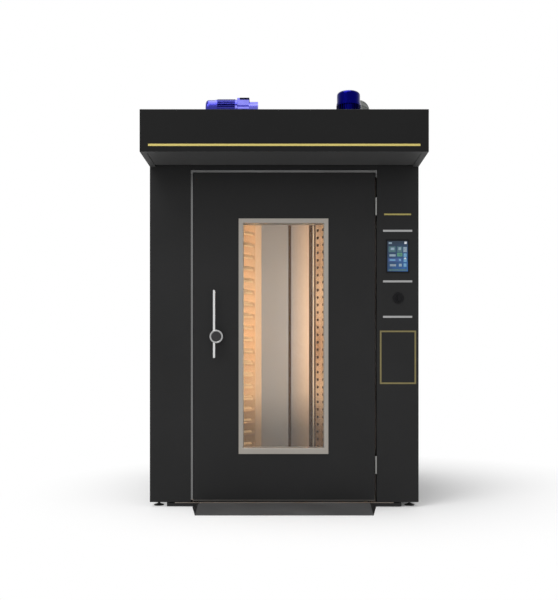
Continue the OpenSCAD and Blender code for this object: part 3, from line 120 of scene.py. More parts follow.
def skin_group():
    """A fine dimpled skin, as of powder coat, enamel, rubber or plastic, over slow changes of tone."""
    group, given, made = new_group(
        "dimpled_skin", {"Colour": "Color", "Roughness": "Float", "Tone": "Float", "Dimples": "Float",
                         "Clouds": "Float"},
        {"Colour": "Color", "Roughness": "Float", "Height": "Float"})
    place = object_place(group)
    cloud = noise(group, place, given["Clouds"], 4.0, 0.55)
    fine = noise(group, place, given["Dimples"])
    tone = spread(group, cloud, times(group, 1.0, given["Tone"], "SUBTRACT"),
                  times(group, 1.0, given["Tone"], "ADD"))
    speck = spread(group, fine, 0.97, 1.03)
    wire(group, (brighten(group, given["Colour"], times(group, tone, speck)), made["Colour"]),
         (times(group, given["Roughness"], tone), made["Roughness"]), (fine, made["Height"]))
    return group


def new_material(name):
    """A material with its node tree and its shader."""
    material = bpy.data.materials.new(name)
    material.use_nodes = True
    return material, material.node_tree, material.node_tree.nodes["Principled BSDF"]


def new_finish(name, group, texture, strength=0.1, depth=0.0003, **plain):
    """A material whose colour, gloss and relief come from a texture group; plain values go to the shader."""
    finish, tree, shader = new_material(name)
    for key, value in plain.items():
        shader.inputs[key.replace("_", " ")].default_value = value
    source = put(tree, "ShaderNodeGroup", node_tree=group)
    for key, value in texture.items():
        source.inputs[key].default_value = (*value, 1.0) if key in ("Colour", "Tint") else value
    relief = put(tree, "ShaderNodeBump", {"Strength": strength, "Distance": depth})
    wire(tree, (source.outputs["Colour"], shader.inputs["Base Color"]),
         (source.outputs["Roughness"], shader.inputs["Roughness"]),
         (source.outputs["Height"], relief.inputs["Height"]), (relief.outputs[0], shader.inputs["Normal"]))
    finish.diffuse_color = (*texture["Colour"], 1.0)
    return finish


def skinned(name, colour, roughness, tone=0.08, dimples=500.0, clouds=2.5, **rest):
    return new_finish(name, dimpled_skin, dict(Colour=colour, Roughness=roughness, Tone=tone,
                                               Dimples=dimples, Clouds=clouds), **rest)


def pick(piece):
    """Makes one piece the only selected and the active one."""
    bpy.ops.object.select_all(action="DESELECT")
    piece.select_set(True)
    bpy.context.view_layer.objects.active = piece


def coat(piece, finish):
    """Gives a piece one finish all over."""
    piece.data.materials.clear()
    piece.data.materials.append(finish)


def dress(piece, finish, body="cabinet"):
    """Gives a piece its material, body and material slot."""
    coat(piece, finish)
    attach(piece, body)
    return piece


def modify(piece, kind, **settings):
    """Adds a modifier to a piece and applies it."""
    pick(piece)
    change = piece.modifiers.new("change", kind)
    for key, value in settings.items():
        setattr(change, key, value)
    bpy.ops.object.modifier_apply(modifier=change.name)


def round_edges(piece, width, segments=2):
    """Rounds the sharp edges of a piece and keeps its flat faces flat in the light."""
    corners = [Vector([pull(point.co[axis] for point in piece.data.vertices) for axis in range(3)])
               for pull in (min, max)]
    modify(piece, "BEVEL", width=width, segments=segments, limit_method="ANGLE",
           angle_limit=math.radians(35))
    for point in piece.data.vertices:
        point.co = [min(max(value, low), high) for value, low, high in zip(point.co, *corners)]
    piece.data.polygons.foreach_set("use_smooth", [True] * len(piece.data.polygons))
    modify(piece, "WEIGHTED_NORMAL", weight=100)
    return piece


def rounded_from(node, width, finish, segments=2, body="cabinet", split_z=None):
    """A copy of a CAD node with its facets merged and its edges rounded, which stands for the node."""
    piece = bpy.data.objects.new(node.replace("_", "-"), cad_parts[node].data.copy())
    bpy.context.scene.collection.objects.link(piece)
    pick(piece)
    bpy.ops.object.mode_set(mode="EDIT")
    bpy.ops.mesh.select_all(action="SELECT")
    bpy.ops.mesh.remove_doubles(threshold=0.00002)
    bpy.ops.mesh.dissolve_limited(angle_limit=math.radians(0.6))
    if split_z:
        bpy.ops.mesh.select_all(action="SELECT")
        bpy.ops.mesh.bisect(plane_co=(0, 0, split_z), plane_no=(0, 0, 1))
    bpy.ops.object.mode_set(mode="OBJECT")
    round_edges(piece, width, segments)
    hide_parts(node)
    return dress(piece, finish, body)


dimpled_skin = skin_group()
body_coat = skinned("body_coat", (0.0170, 0.0170, 0.0173), 0.42, strength=0.12, Specular_IOR_Level=0.13)
for panels in ("cladding_panels", "roof_panel", "front_panels", "control_column"):
    rounded_from(panels, 0.0009, body_coat)


# ---- Panel screws
# Button-head screws of zinc-plated steel with a hexagon socket hold the rear sheets and the roof. The heads
# are turned, the sockets pressed.

def brushed_group():
    """Brushed metal: long streaks along one direction that change tone, gloss and height."""
    group, given, made = new_group(
        "brushed_metal", {"Colour": "Color", "Roughness": "Float", "Stretch": "Vector", "Streaks": "Float"},
        {"Colour": "Color", "Roughness": "Float", "Height": "Float"})
    place = object_place(group)
    stretched = put(group, "ShaderNodeVectorMath", operation="MULTIPLY")
    wire(group, (place, stretched.inputs[0]), (given["Stretch"], stretched.inputs[1]))
    streak = noise(group, stretched.outputs[0], 1.0, 4.0, 0.7)
    cloud = noise(group, place, 3.5, 3.0)
    tone = spread(group, streak, times(group, 1.0, given["Streaks"], "SUBTRACT"),
                  times(group, 1.0, given["Streaks"], "ADD"))
    wire(group, (brighten(group, given["Colour"], times(group, tone, spread(group, cloud, 0.96, 1.04))),
                 made["Colour"]),
         (times(group, given["Roughness"], spread(group, cloud, 0.85, 1.15)), made["Roughness"]),
         (streak, made["Height"]))
    return group


def brushed(name, colour, roughness, stretch, streaks=0.10, **rest):
    return new_finish(name, brushed_metal, dict(Colour=colour, Roughness=roughness, Stretch=stretch,
                                                Streaks=streaks), **{"Metallic": 1.0, **rest})


def settle():
    """Puts the active object's place, turn and size into its mesh."""
    bpy.ops.object.transform_apply(location=True, rotation=True, scale=True)


def turned(name, centre, facing, steps, sides=48):
    """A turned shape: a disc extruded and resized in steps of (radius, distance along the axis)."""
    axis = Euler(facing).to_matrix() @ Vector((0.0, 0.0, 1.0))
    centre = Vector(centre)
    bpy.ops.object.select_all(action="DESELECT")
    bpy.ops.mesh.primitive_circle_add(vertices=sides, radius=steps[0][0], fill_type="NGON",
                                      location=centre + axis * steps[0][1], rotation=facing)
    piece = bpy.context.object
    piece.name = name
    settle()
    bpy.ops.object.mode_set(mode="EDIT")
    bpy.ops.mesh.select_all(action="SELECT")
    for (r0, h0), (r1, h1) in zip(steps, steps[1:]):
        bpy.ops.mesh.extrude_region_move(TRANSFORM_OT_translate={"value": axis * (h1 - h0)})
        bpy.ops.transform.resize(value=(r1 / r0,) * 3, center_override=centre + axis * h1)
    bpy.ops.mesh.select_all(action="SELECT")
    bpy.ops.mesh.normals_make_consistent(inside=False)
    bpy.ops.object.mode_set(mode="OBJECT")
    return piece


def smooth(piece, angle=35):
    pick(piece)
    bpy.ops.object.shade_smooth_by_angle(angle=math.radians(angle))
    return piece


def join(name, pieces):
    """Joins pieces into the first one."""
    bpy.ops.object.select_all(action="DESELECT")
    for piece in pieces:
        piece.select_set(True)
    bpy.context.view_layer.objects.active = pieces[0]
    bpy.ops.object.join()
    pieces[0].name = name
    return pieces[0]


def copy_to(piece, shift, turn=None):
    """A copy with its own mesh, moved and turned, with its place in its mesh."""
    twin = piece.copy()
    twin.data = piece.data.copy()
    bpy.context.scene.collection.objects.link(twin)
    twin.location = shift
    if turn:
        twin.rotation_euler = turn
    pick(twin)
    settle()
    return twin


brushed_metal = brushed_group()
even = (180.0, 180.0, 180.0)
zinc_plate = brushed("zinc_plate", (0.52, 0.52, 0.50), 0.36, even, streaks=0.12)
head_r, head_h = 0.006, 0.002
screw = turned("screw", (0, 0, 0), (0, 0, 0), (
    (head_r, 0.0), (head_r, head_h * 0.3), (head_r * 0.86, head_h * 0.75), (head_r * 0.6, head_h),
    (head_r * 0.42, head_h), (head_r * 0.40, head_h * 0.35)), sides=12)
smooth(screw)
low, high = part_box("panel_screws")
half_w, roof_z, back = 0.85, 2.4, high[1] - head_h
sheet_inset, roof_inset = 0.03, 0.12
rows, row_low, row_high = 7, 0.09, 2.337
screws = []
for x in (-half_w + sheet_inset, -sheet_inset, sheet_inset, half_w - sheet_inset):
    for row in range(rows):
        z = row_low + row * (row_high - row_low) / (rows - 1)
        screws.append(copy_to(screw, (x, back, z), (math.radians(-90), 0, 0)))
for x in (-half_w + roof_inset, -half_w / 2, 0.0, half_w / 2, half_w - roof_inset):
    for y in (low[1] + head_r, back - 0.06):
        screws.append(copy_to(screw, (x, y, roof_z)))
bpy.data.objects.remove(screw)
screws = join("panel-screws", screws)
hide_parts("panel_screws")
dress(screws, zinc_plate)


# ---- Hood
# The hood over the door is one folded shell with a smooth, glossier coat on its front. Its underside is a
# separate panel, and behind that panel a dark slot draws in the vapour when the door opens.

def paint_faces(piece, finish, test):
    """Gives another material to the faces whose centre and normal pass the test."""
    piece.data.materials.append(finish)
    number = len(piece.data.materials) - 1
    for face in piece.data.polygons:
        if test(face.center, face.normal):
            face.material_index = number


hood_coat = skinned("hood_coat", (0.0105, 0.0105, 0.0105), 0.26, tone=0.05, strength=0.05,
                    Specular_IOR_Level=0.09)
soffit_coat = skinned("soffit_coat", (0.054, 0.054, 0.054), 0.55, tone=0.05, strength=0.04,
                      Specular_IOR_Level=0.10)
hood = rounded_from("hood_shell", 0.0015, hood_coat, segments=3)
rounded_from("hood_soffit", 0.0006, soffit_coat)
paint_faces(hood, soffit_coat, lambda at, facing: facing.z < -0.5)


# ---- Yellow film
# The stripe on the hood, the dash above the controls and the outline below them are cut from self-adhesive
# vinyl film. The narrow ones look duller.

yellow_film = skinned("yellow_film", (0.56, 0.46, 0.125), 0.40, tone=0.03, strength=0.02)
dull_film = skinned("dull_film", (0.178, 0.145, 0.050), 0.45, tone=0.04, strength=0.02)
dash_film = skinned("dash_film", (0.38, 0.32, 0.085), 0.45, tone=0.04, strength=0.02)
film = rounded_from("yellow_markings", 0.0002, yellow_film)
behind_hood_y, between_z = -1.0, 1.5
paint_faces(film, dull_film, lambda at, facing: at.y > behind_hood_y and at.z < between_z)
paint_faces(film, dash_film, lambda at, facing: at.y > behind_hood_y and at.z > between_z)


# ---- Stainless trim and silver strips
# A brushed stainless angle, welded at its corners, frames the door opening on three sides. Three brushed
# strips are glued across the control column.

along_x = (6.0, 900.0, 900.0)
along_z = (900.0, 900.0, 6.0)
trim_steel = brushed("trim_steel", (0.18, 0.18, 0.18), 0.40, along_z)
strip_steel = brushed("strip_steel", (0.36, 0.36, 0.36), 0.38, along_x)
# Painted light: the top of the trim, which lies in the hood's shade, is a lighter copy of the trim steel.
head_painted_light_steel = brushed("head_painted_light_steel", (0.31, 0.31, 0.31), 0.40, along_x)
head_z, column_x = 2.108, 0.605
trims = rounded_from("stainless_trims", 0.0006, trim_steel, split_z=head_z)
paint_faces(trims, head_painted_light_steel, lambda at, facing: at.z > head_z and at.x < column_x)
paint_faces(trims, strip_steel, lambda at, facing: at.x > column_x)


# ---- Base, feet and ramp
# The base frame is welded from channels and flat bars. Six levelling feet on threaded studs carry it, and a
# folded stainless ramp with flared cheeks leads the trolley up to the chamber floor.

frame_coat = skinned("frame_coat", (0.016, 0.016, 0.0165), 0.55, tone=0.12, strength=0.15,
                     Specular_IOR_Level=0.15)
foot_zinc = brushed("foot_zinc", (0.10, 0.10, 0.10), 0.5, even)
ramp_steel = brushed("ramp_steel", (0.145, 0.145, 0.145), 0.55, along_x, streaks=0.12, Metallic=0.6)
cheek_steel = brushed("cheek_steel", (0.09, 0.09, 0.09), 0.45, along_x)
rounded_from("base_frame", 0.0008, frame_coat)
rounded_from("levelling_feet", 0.0005, foot_zinc)
ramp = rounded_from("entry_ramp", 0.0008, ramp_steel)
paint_faces(ramp, cheek_steel, lambda at, facing: abs(facing.x) > 0.3)


# ---- Insulation
# Boards of pressed mineral wool fill the walls and the roof, pushed in between the chamber and the outer
# sheets. They keep the plain shapes of the CAD model, since the panels hide them.

def wool_group():
    """Mineral wool: matted fibres that lie in layers."""
    group, given, made = new_group("matted_wool", {"Colour": "Color", "Roughness": "Float"},
                                   {"Colour": "Color", "Roughness": "Float", "Height": "Float"})
    place = object_place(group)
    layers = put(group, "ShaderNodeVectorMath", {1: (60.0, 60.0, 340.0)}, operation="MULTIPLY")
    wire(group, (place, layers.inputs[0]))
    fibre = noise(group, layers.outputs[0], 1.0, 6.0, 0.75)
    wire(group, (brighten(group, given["Colour"], spread(group, fibre, 0.7, 1.25)), made["Colour"]),
         (given["Roughness"], made["Roughness"]), (fibre, made["Height"]))
    return group


mineral_wool = new_finish("mineral_wool", wool_group(), dict(Colour=(0.095, 0.088, 0.068), Roughness=0.95),
                          strength=0.7, depth=0.003)
coat(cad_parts["insulation_boards"], mineral_wool)


# ---- Chamber
# The baking chamber is welded from stainless sheet with a dull mill finish, which the heat has tinted brown
# where the air is hottest. Two folded covers close its rear wall and leave two dark vertical slots.

def tinted_group():
    """Brushed steel with a brown heat tint in clouds, a tint along a line, and painted shade near the floor.
    """
    group, given, made = new_group(
        "heat_tinted", {"Colour": "Color", "Tint": "Color", "Roughness": "Float", "Stretch": "Vector",
                        "Streaks": "Float", "Centre": "Float", "Reach": "Float", "Clouds": "Float",
                        "Soot": "Float"},
        {"Colour": "Color", "Roughness": "Float", "Height": "Float"})
    place = object_place(group)
    metal = put(group, "ShaderNodeGroup", node_tree=brushed_metal)
    ends = put(group, "ShaderNodeSeparateXYZ")
    wire(group, (place, ends.inputs[0]), (given["Colour"], metal.inputs["Colour"]),
         (given["Roughness"], metal.inputs["Roughness"]), (given["Stretch"], metal.inputs["Stretch"]),
         (given["Streaks"], metal.inputs["Streaks"]))
    near = times(group, ends.outputs["X"], given["Centre"], "SUBTRACT")
    near = times(group, times(group, near, 0.0, "ABSOLUTE"), given["Reach"], "DIVIDE")
    near = spread(group, near, 1.0, 0.0, 0.0, 1.0)
    low = put(group, "ShaderNodeVectorMath", {1: (3.0, 3.0, 1.2)}, operation="MULTIPLY")
    wire(group, (place, low.inputs[0]))
    cloud = times(group, spread(group, noise(group, low.outputs[0], 1.6, 4.0), 0.0, 1.0), given["Clouds"])
    blend = put(group, "ShaderNodeMix", data_type="RGBA", blend_type="MULTIPLY")
    # Painted shade: the colour darkens towards the floor, below the reach of the lamps, by the given amount.
    low_shading = spread(group, ends.outputs["Z"], times(group, 1.0, given["Soot"], "SUBTRACT"), 1.0, 0.38, 0.68)
    wire(group, (times(group, near, cloud, "MAXIMUM"), blend.inputs[0]),
         (metal.outputs["Colour"], blend.inputs[6]), (given["Tint"], blend.inputs[7]),
         (brighten(group, blend.outputs[2], low_shading), made["Colour"]),
         (metal.outputs["Roughness"], made["Roughness"]), (metal.outputs["Height"], made["Height"]))
    return group


def tinted(name, colour, tint, roughness, stretch, centre=0.0, reach=0.001, clouds=0.3, streaks=0.12,
           low_shade=0.0, **rest):
    return new_finish(name, heat_tinted, dict(
        Colour=colour, Tint=tint, Roughness=roughness, Stretch=stretch, Streaks=streaks, Centre=centre,
        Reach=reach, Clouds=clouds, Soot=low_shade), **{"Metallic": 1.0, **rest})


def boxed(name, low, high, width=0.002, segments=2):
    """A block between two corners with its edges rounded."""
    bpy.ops.object.select_all(action="DESELECT")
    bpy.ops.mesh.primitive_cube_add(size=1.0, location=[(a + b) / 2 for a, b in zip(low, high)])
    piece = bpy.context.object
    piece.name = name
    piece.scale = [b - a for a, b in zip(low, high)]
    settle()
    return round_edges(piece, width, segments)


def rear_strip(name, x, y, end=0.0, **rounding):
    """An upright strip as high as the chamber; its two depths start at the rear wall."""
    return boxed(name, (x[0], rear_wall_y + y[0], chamber_z[0] + end),
                 (x[1], rear_wall_y + y[1], chamber_z[1] - end), **rounding)


heat_tinted = tinted_group()
chamber_steel = tinted("chamber_steel", (0.50, 0.47, 0.44), (0.75, 0.55, 0.40), 0.36, along_z, clouds=0.5)
floor_steel = tinted("floor_steel", (0.36, 0.33, 0.30), (0.7, 0.5, 0.36), 0.42, along_z, clouds=0.6)
cover_steel = tinted("cover_steel", (0.324, 0.308, 0.298), (1.0, 0.80, 0.60), 0.48, along_z, clouds=0.2,
                     low_shade=0.30, Metallic=0.5)
# Painted light: the right cover is warm and bright as the glow of the right lamp, greyer near its left edge.
lamp_lit_cover_steel = tinted("lamp_lit_cover_steel", (0.58, 0.415, 0.28), (0.50, 0.62, 0.85), 0.48, along_z, centre=0.05,
                    reach=0.16, clouds=0.12, low_shade=0.56, Metallic=0.5)
# Painted shade: this dark brown stands for the shade inside the slots, on the slot tongues and the cover
# folds facing them.
slot_shade_steel = tinted("slot_shade_steel", (0.100, 0.046, 0.012), (0.8, 0.6, 0.5), 0.6, along_z, clouds=0.5,
                      low_shade=0.5, Metallic=0.0, Specular_IOR_Level=0.03)
duct_steel = tinted("duct_steel", (0.22, 0.13, 0.065), (0.8, 0.6, 0.5), 0.6, along_z, clouds=0.5,
                    Metallic=0.2)
front_y = -0.7872
rear_wall_y = front_y + 1.475
chamber_z = (0.029, 2.079)
walls = rounded_from("chamber_walls", 0.0003, chamber_steel)
paint_faces(walls, duct_steel, lambda at, facing: at.y > rear_wall_y)
covers = rounded_from("rear_covers", 0.0008, cover_steel)
slot_x, slot_rim, slot_widening, slots_from_x = 0.0445, 0.010, 0.004, 0.02
# The right cover gets the painted lamp light.
paint_faces(covers, lamp_lit_cover_steel, lambda at, facing: at.x > slot_x)
# The cover folds that face into the slots get the painted slot shade.
paint_faces(covers, slot_shade_steel, lambda at, facing: at.x > slots_from_x and abs(facing.x) > 0.5)
for point in covers.data.vertices:
    if abs(point.co.x - slot_x) < slot_rim:
        point.co.x += math.copysign(slot_widening, point.co.x - slot_x)
tongues = [rear_strip("slot-tongue", across, (0.0205, 0.0220), end=0.005, width=0.0005)
           for across in ((0.030, 0.059), (0.193, 0.2385))]
dress(join("slot-tongues", tongues), slot_shade_steel)
for node, finish in (("chamber_ceiling", chamber_steel), ("chamber_floor", floor_steel),
                     ("plenum_top", chamber_steel)):
    rounded_from(node, 0.0004, finish)
jamb = rounded_from("door_jamb", 0.0004, chamber_steel)
# Painted shade: the jamb's front faces beside the door's side gaps are near black, as the shade in the gap.
gap_shade_steel = brushed("gap_shade_steel", (0.02, 0.02, 0.02), 0.5, along_z)
gap_shade_x = 0.5
paint_faces(jamb, gap_shade_steel, lambda at, facing: facing.y < -0.5 and abs(at.x) > gap_shade_x)


# ---- Left air column
# The sheet across the left rear corner has 21 slots. The louvre over each is pressed from the sheet,
# rounded, with closed ends, and turns the hot air down and into the rack. Its warm straw colour is partly
# heat tint and partly the painted warm light of the lamps.

louvre_steel = tinted("louvre_steel", (0.85, 0.605, 0.375), (1.0, 0.86, 0.70), 0.42, along_x, clouds=0.6,
                      low_shade=0.60, Metallic=0.45)
column_at = Vector((-0.232, rear_wall_y, 0.028))
column_l, column_h, sheet = 0.6454, 2.052, 0.002
edge, slot_h, pitch, lowest = 0.014, 0.026, 0.094, 0.060
reach, drop, lap, end_l, raised, swell_rate = 0.026, 0.034, 0.004, 0.030, 0.003, 1.08
slot_l = column_l - 2 * edge
tops = [lowest + number * pitch for number in range(21)]

bpy.ops.object.select_all(action="DESELECT")
bpy.ops.mesh.primitive_plane_add(size=1.0, location=(column_l / 2, 0, column_h / 2),
                                 rotation=(math.radians(90), 0, 0))
column = bpy.context.object
column.scale = (column_l, column_h, 1.0)
settle()
bpy.ops.object.mode_set(mode="EDIT")
cuts = [((x, 0, 0), (1, 0, 0)) for x in (edge, column_l - edge)]
cuts += [((0, 0, z), (0, 0, 1)) for top in tops for z in (top - slot_h, top)]
for point, across in cuts:
    bpy.ops.mesh.select_all(action="SELECT")
    bpy.ops.mesh.bisect(plane_co=point, plane_no=across)
bpy.ops.mesh.select_mode(type="FACE")
bpy.ops.mesh.select_all(action="DESELECT")
bpy.ops.object.mode_set(mode="OBJECT")
for face in column.data.polygons:
    face.select = edge < face.center.x < column_l - edge and any(
        top - slot_h < face.center.z < top for top in tops)
bpy.ops.object.mode_set(mode="EDIT")
bpy.ops.mesh.delete(type="FACE")
bpy.ops.object.mode_set(mode="OBJECT")

bpy.ops.object.select_all(action="DESELECT")
bpy.ops.mesh.primitive_grid_add(x_subdivisions=14, y_subdivisions=7, size=1.0,
                                rotation=(math.radians(90), 0, 0))
louvre = bpy.context.object
louvre.scale = (slot_l + 2 * lap, drop + lap, 1.0)
settle()
for point in louvre.data.vertices:
    down = 0.5 - point.co.z / (drop + lap)
    side = min(1.0, max(0.0, (slot_l / 2 - abs(point.co.x)) / end_l))
    swell = math.sin(math.pi / 2 * min(1.0, swell_rate * down)) * math.sin(math.pi / 2 * side)
    point.co = (point.co.x, reach * swell, point.co.z)
louvres = [copy_to(louvre, (column_l / 2, 0.0, top + raised - drop / 2)) for top in tops]
bpy.data.objects.remove(louvre)
column = join("outlet-column", [column] + louvres)
modify(column, "SOLIDIFY", thickness=sheet, offset=0.0)
column.location = column_at
column.rotation_euler = (0, 0, math.radians(225))
settle()
smooth(column, 50)
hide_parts("outlet_column")
dress(column, louvre_steel)
# Painted highlight: the upturned faces of the louvres, and their proud faces higher up, are a lighter straw.
lip_highlight_steel = tinted("lip_highlight_steel", (1.0, 0.78, 0.48), (1.0, 0.86, 0.70), 0.36, along_x, clouds=0.3, low_shade=0.30,
                   Metallic=0.4)
lip_slope, lip_z, lip_proud = 0.66, 0.62, 0.030
paint_faces(column, lip_highlight_steel, lambda at, facing: facing.z > lip_slope or (
    at.z > lip_z and at.x - column_at.x - at.y + column_at.y > lip_proud))
foot = rear_strip("outlet-column-foot", (-0.2335, -0.184), (-0.0035, -0.0008), width=0.001)
# The foot's warm colour is likewise partly heat tint and partly painted lamp light.
foot_steel = tinted("foot_steel", (0.72, 0.52, 0.34), (1.0, 0.86, 0.70), 0.42, along_z, clouds=0.4, low_shade=0.5,
                    Metallic=0.3)
dress(foot, foot_steel)


# ---- Right air column
# The sheet across the right rear corner is perforated and draws the air back to the fan. Its inner edge is
# folded into a narrow bright flange beside the wide slot. The peach of the sheet is painted warm lamp light
# over a mottled heat tint, and the flange's cream is a painted highlight on its fold.

return_steel = tinted("return_steel", (1.0, 0.82, 0.60), (0.50, 0.36, 0.24), 0.34, along_z, clouds=1.0,
                      streaks=0.45, low_shade=0.48, strength=0.5, Metallic=0.5)
flange_highlight_steel = tinted("flange_highlight_steel", (0.76, 0.61, 0.43), (1.0, 0.9, 0.8), 0.5, along_z, clouds=0.1,
                      low_shade=0.6, streaks=0.03, Metallic=0.2, strength=0.02)
rounded_from("return_column", 0.0004, return_steel)
edge_flange = rear_strip("return-column-flange", (0.2295, 0.2430), (-0.0110, -0.0015), width=0.003,
                         segments=3)
dress(edge_flange, flange_highlight_steel)
# Painted shadow: a dark strip beside the flange stands for the shadow the flange casts.
flange_shadow_strip = rear_strip("return-column-flange-shadow", (0.2425, 0.2520), (-0.0250, -0.0110), width=0.0012)
dress(flange_shadow_strip, slot_shade_steel)


# ---- Heaters and steam generator
# Sixteen sheathed hairpin elements sit in the duct behind the chamber. Under them, round bars on six trays
# store the heat for the steam; water drips on them from a pipe.

sheath = tinted("heater_sheath", (0.14, 0.12, 0.10), (0.8, 0.6, 0.5), 0.5, even, clouds=0.8)
steam_iron = tinted("steam_iron", (0.20, 0.16, 0.13), (0.8, 0.55, 0.4), 0.55, even, clouds=0.8, strength=0.3)
rounded_from("heater_bank", 0.0004, sheath)
rounded_from("steam_generator", 0.0004, steam_iron)


# ---- Chamber lamps
# Two tall lamps on the back of the front wall light the chamber in a warm tone: a pressed housing, a frosted
# pane and a tube inside.

lamp_housing = brushed("lamp_housing", (0.60, 0.60, 0.58), 0.35, along_z)
lamp_glow = skinned("lamp_glow", (0.9, 0.75, 0.55), 0.4, Emission_Color=(1.0, 0.72, 0.45, 1.0),
                    Emission_Strength=1.6)
lamps = rounded_from("chamber_lamps", 0.0008, lamp_housing)
lamp_x, lamp_back, lamp_z, pane_t = 0.63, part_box("chamber_lamps")[1][1], 1.28, 0.0045
paint_faces(lamps, lamp_glow, lambda at, facing: at.y > lamp_back - pane_t)
for side, power in ((-1, 4.0), (1, 17.0)):
    bpy.ops.object.light_add(type="AREA", location=(side * lamp_x, lamp_back + 0.006, lamp_z))
    glow = bpy.context.object.data
    glow.shape = "RECTANGLE"
    glow.size, glow.size_y = 0.06, 1.3
    glow.energy = power
    glow.color = (1.0, 0.90, 0.78)
    bpy.context.object.rotation_euler = (math.radians(90), 0.0, math.radians(side * 12))


# ---- Fan
# A backward-curved wheel of welded stainless steel hangs on the fan motor's shaft. Under it a spun ring,
# screwed to the chamber ceiling, leads the air in.

fan_steel = tinted("fan_steel", (0.50, 0.46, 0.42), (0.8, 0.62, 0.45), 0.36, even, clouds=0.5)
rounded_from("fan_inlet_ring", 0.0004, chamber_steel)
rounded_from("fan_impeller", 0.0004, fan_steel, body="fan")


# ---- Motors on the roof
# The gear motor that turns the rack lies across the roof on its bracket; the fan motor stands upright beside
# it. Their housings are cast, with cooling ribs, and enamelled blue; the cowls are pressed steel with air
# slots.

stand_coat = skinned("stand_coat", (0.03, 0.03, 0.031), 0.5, tone=0.1, strength=0.15)
blue_enamel = skinned("blue_enamel", (0.038, 0.038, 0.30), 0.20, tone=0.06, dimples=260.0, strength=0.06,
                      Metallic=0.9)
navy_enamel = skinned("navy_enamel", (0.002, 0.002, 0.105), 0.22, tone=0.15, dimples=260.0, clouds=9.0,
                      strength=0.06, Metallic=1.0)
# Painted shade: this near-black enamel stands for the dark tops of the gearbox, on its top band and its lid.
top_shade_enamel = skinned("top_shade_enamel", (0.002, 0.002, 0.02), 0.35, tone=0.06, dimples=260.0, Metallic=0.9)
rounded_from("motor_stands", 0.0012, stand_coat)
between_motors_x = 0.1
for housing in ("motor_frames", "motor_cowls"):
    motors = rounded_from(housing, 0.0008, blue_enamel)
    paint_faces(motors, navy_enamel, lambda at, facing: at.x > between_motors_x)
highlight_enamel = skinned("highlight_enamel", (0.26, 0.26, 0.88), 0.25, tone=0.10, dimples=260.0, clouds=14.0,
                      strength=0.06, Metallic=0.9)
cap_highlight_enamel = skinned("cap_highlight_enamel", (0.12, 0.12, 0.52), 0.25, tone=0.10, dimples=260.0, strength=0.06,
                     Metallic=0.9)
gearbox = rounded_from("gearbox", 0.0030, blue_enamel, segments=3)
cap_x, _, gear_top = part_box("gearbox")[1]
housing_x, shade_band_h = -0.24, 0.010
# Painted highlights and shade: the housing's flat fronts are pale and the cap's front is lighter, as
# highlights; the top band is dark.
paint_faces(gearbox, highlight_enamel, lambda at, facing: facing.y < -0.99 and at.x < housing_x)
paint_faces(gearbox, top_shade_enamel, lambda at, facing: at.z > gear_top - shade_band_h)
paint_faces(gearbox, cap_highlight_enamel, lambda at, facing: facing.y < -0.9 and at.x >= housing_x)
lid = boxed("gearbox-lid", (-0.3060, front_y + 0.4525, 2.720), (-0.2395, front_y + 0.5845, 2.7345),
            segments=3)
dress(lid, top_shade_enamel)

bolt_h = 0.0066
bolt = turned("bolt", (0, 0, 0), (0, 0, 0), (
    (0.0095, 0.0), (0.0095, 0.0010), (0.0075, 0.0012), (0.0075, 0.0055), (0.0066, bolt_h)), sides=6)
round_edges(bolt, 0.0003, 1)
fan_flange, fan_ring_r = Vector((0.445, front_y + 0.5, 2.5118)), 0.0905
gear_cap, cap_ring_r = Vector((cap_x - bolt_h, front_y + 0.5, 2.664)), 0.041
bolts = []
for number in range(4):
    turn = math.radians(45 + 90 * number)
    spot = fan_flange + Vector((fan_ring_r * math.cos(turn), fan_ring_r * math.sin(turn), 0.0))
    bolts.append(copy_to(bolt, spot))
for number in range(6):
    turn = math.radians(60 * number)
    spot = gear_cap + Vector((0.0, cap_ring_r * math.cos(turn), cap_ring_r * math.sin(turn)))
    bolts.append(copy_to(bolt, spot, (0, math.radians(90), 0)))
bpy.data.objects.remove(bolt)
dress(join("motor-bolts", bolts), zinc_plate)


# ---- Rack drive
# A flat belt runs from the small pulley under the gear motor to the large one on the rack shaft. The shaft
# hangs in a cast bearing on the roof and carries a cross bar with two hooks, which lift the rack and turn
# it.

cast_iron = skinned("cast_iron", (0.16, 0.16, 0.17), 0.45, tone=0.15, dimples=220.0, strength=0.35,
                    Metallic=1.0)
belt_rubber = skinned("belt_rubber", (0.016, 0.016, 0.017), 0.7, tone=0.12, dimples=900.0, strength=0.3)
shaft_steel = brushed("shaft_steel", (0.56, 0.56, 0.55), 0.28, (500.0, 500.0, 500.0))
rounded_from("drive_pulley", 0.0006, cast_iron, body="drive_pulley")
rounded_from("driven_pulley", 0.0006, cast_iron, body="rack_drive")
rounded_from("drive_belt", 0.0006, belt_rubber)
rounded_from("rack_bearing", 0.0015, cast_iron)
rounded_from("rack_shaft", 0.0008, shaft_steel, body="rack_drive")
rounded_from("rack_carrier", 0.0015, chamber_steel, body="rack_drive")


# ---- Flue
# A galvanised sheet pipe comes through the roof. Its bend is made of five gores with raised seams, and a
# round damper turns inside the pipe on a shaft with a lever.

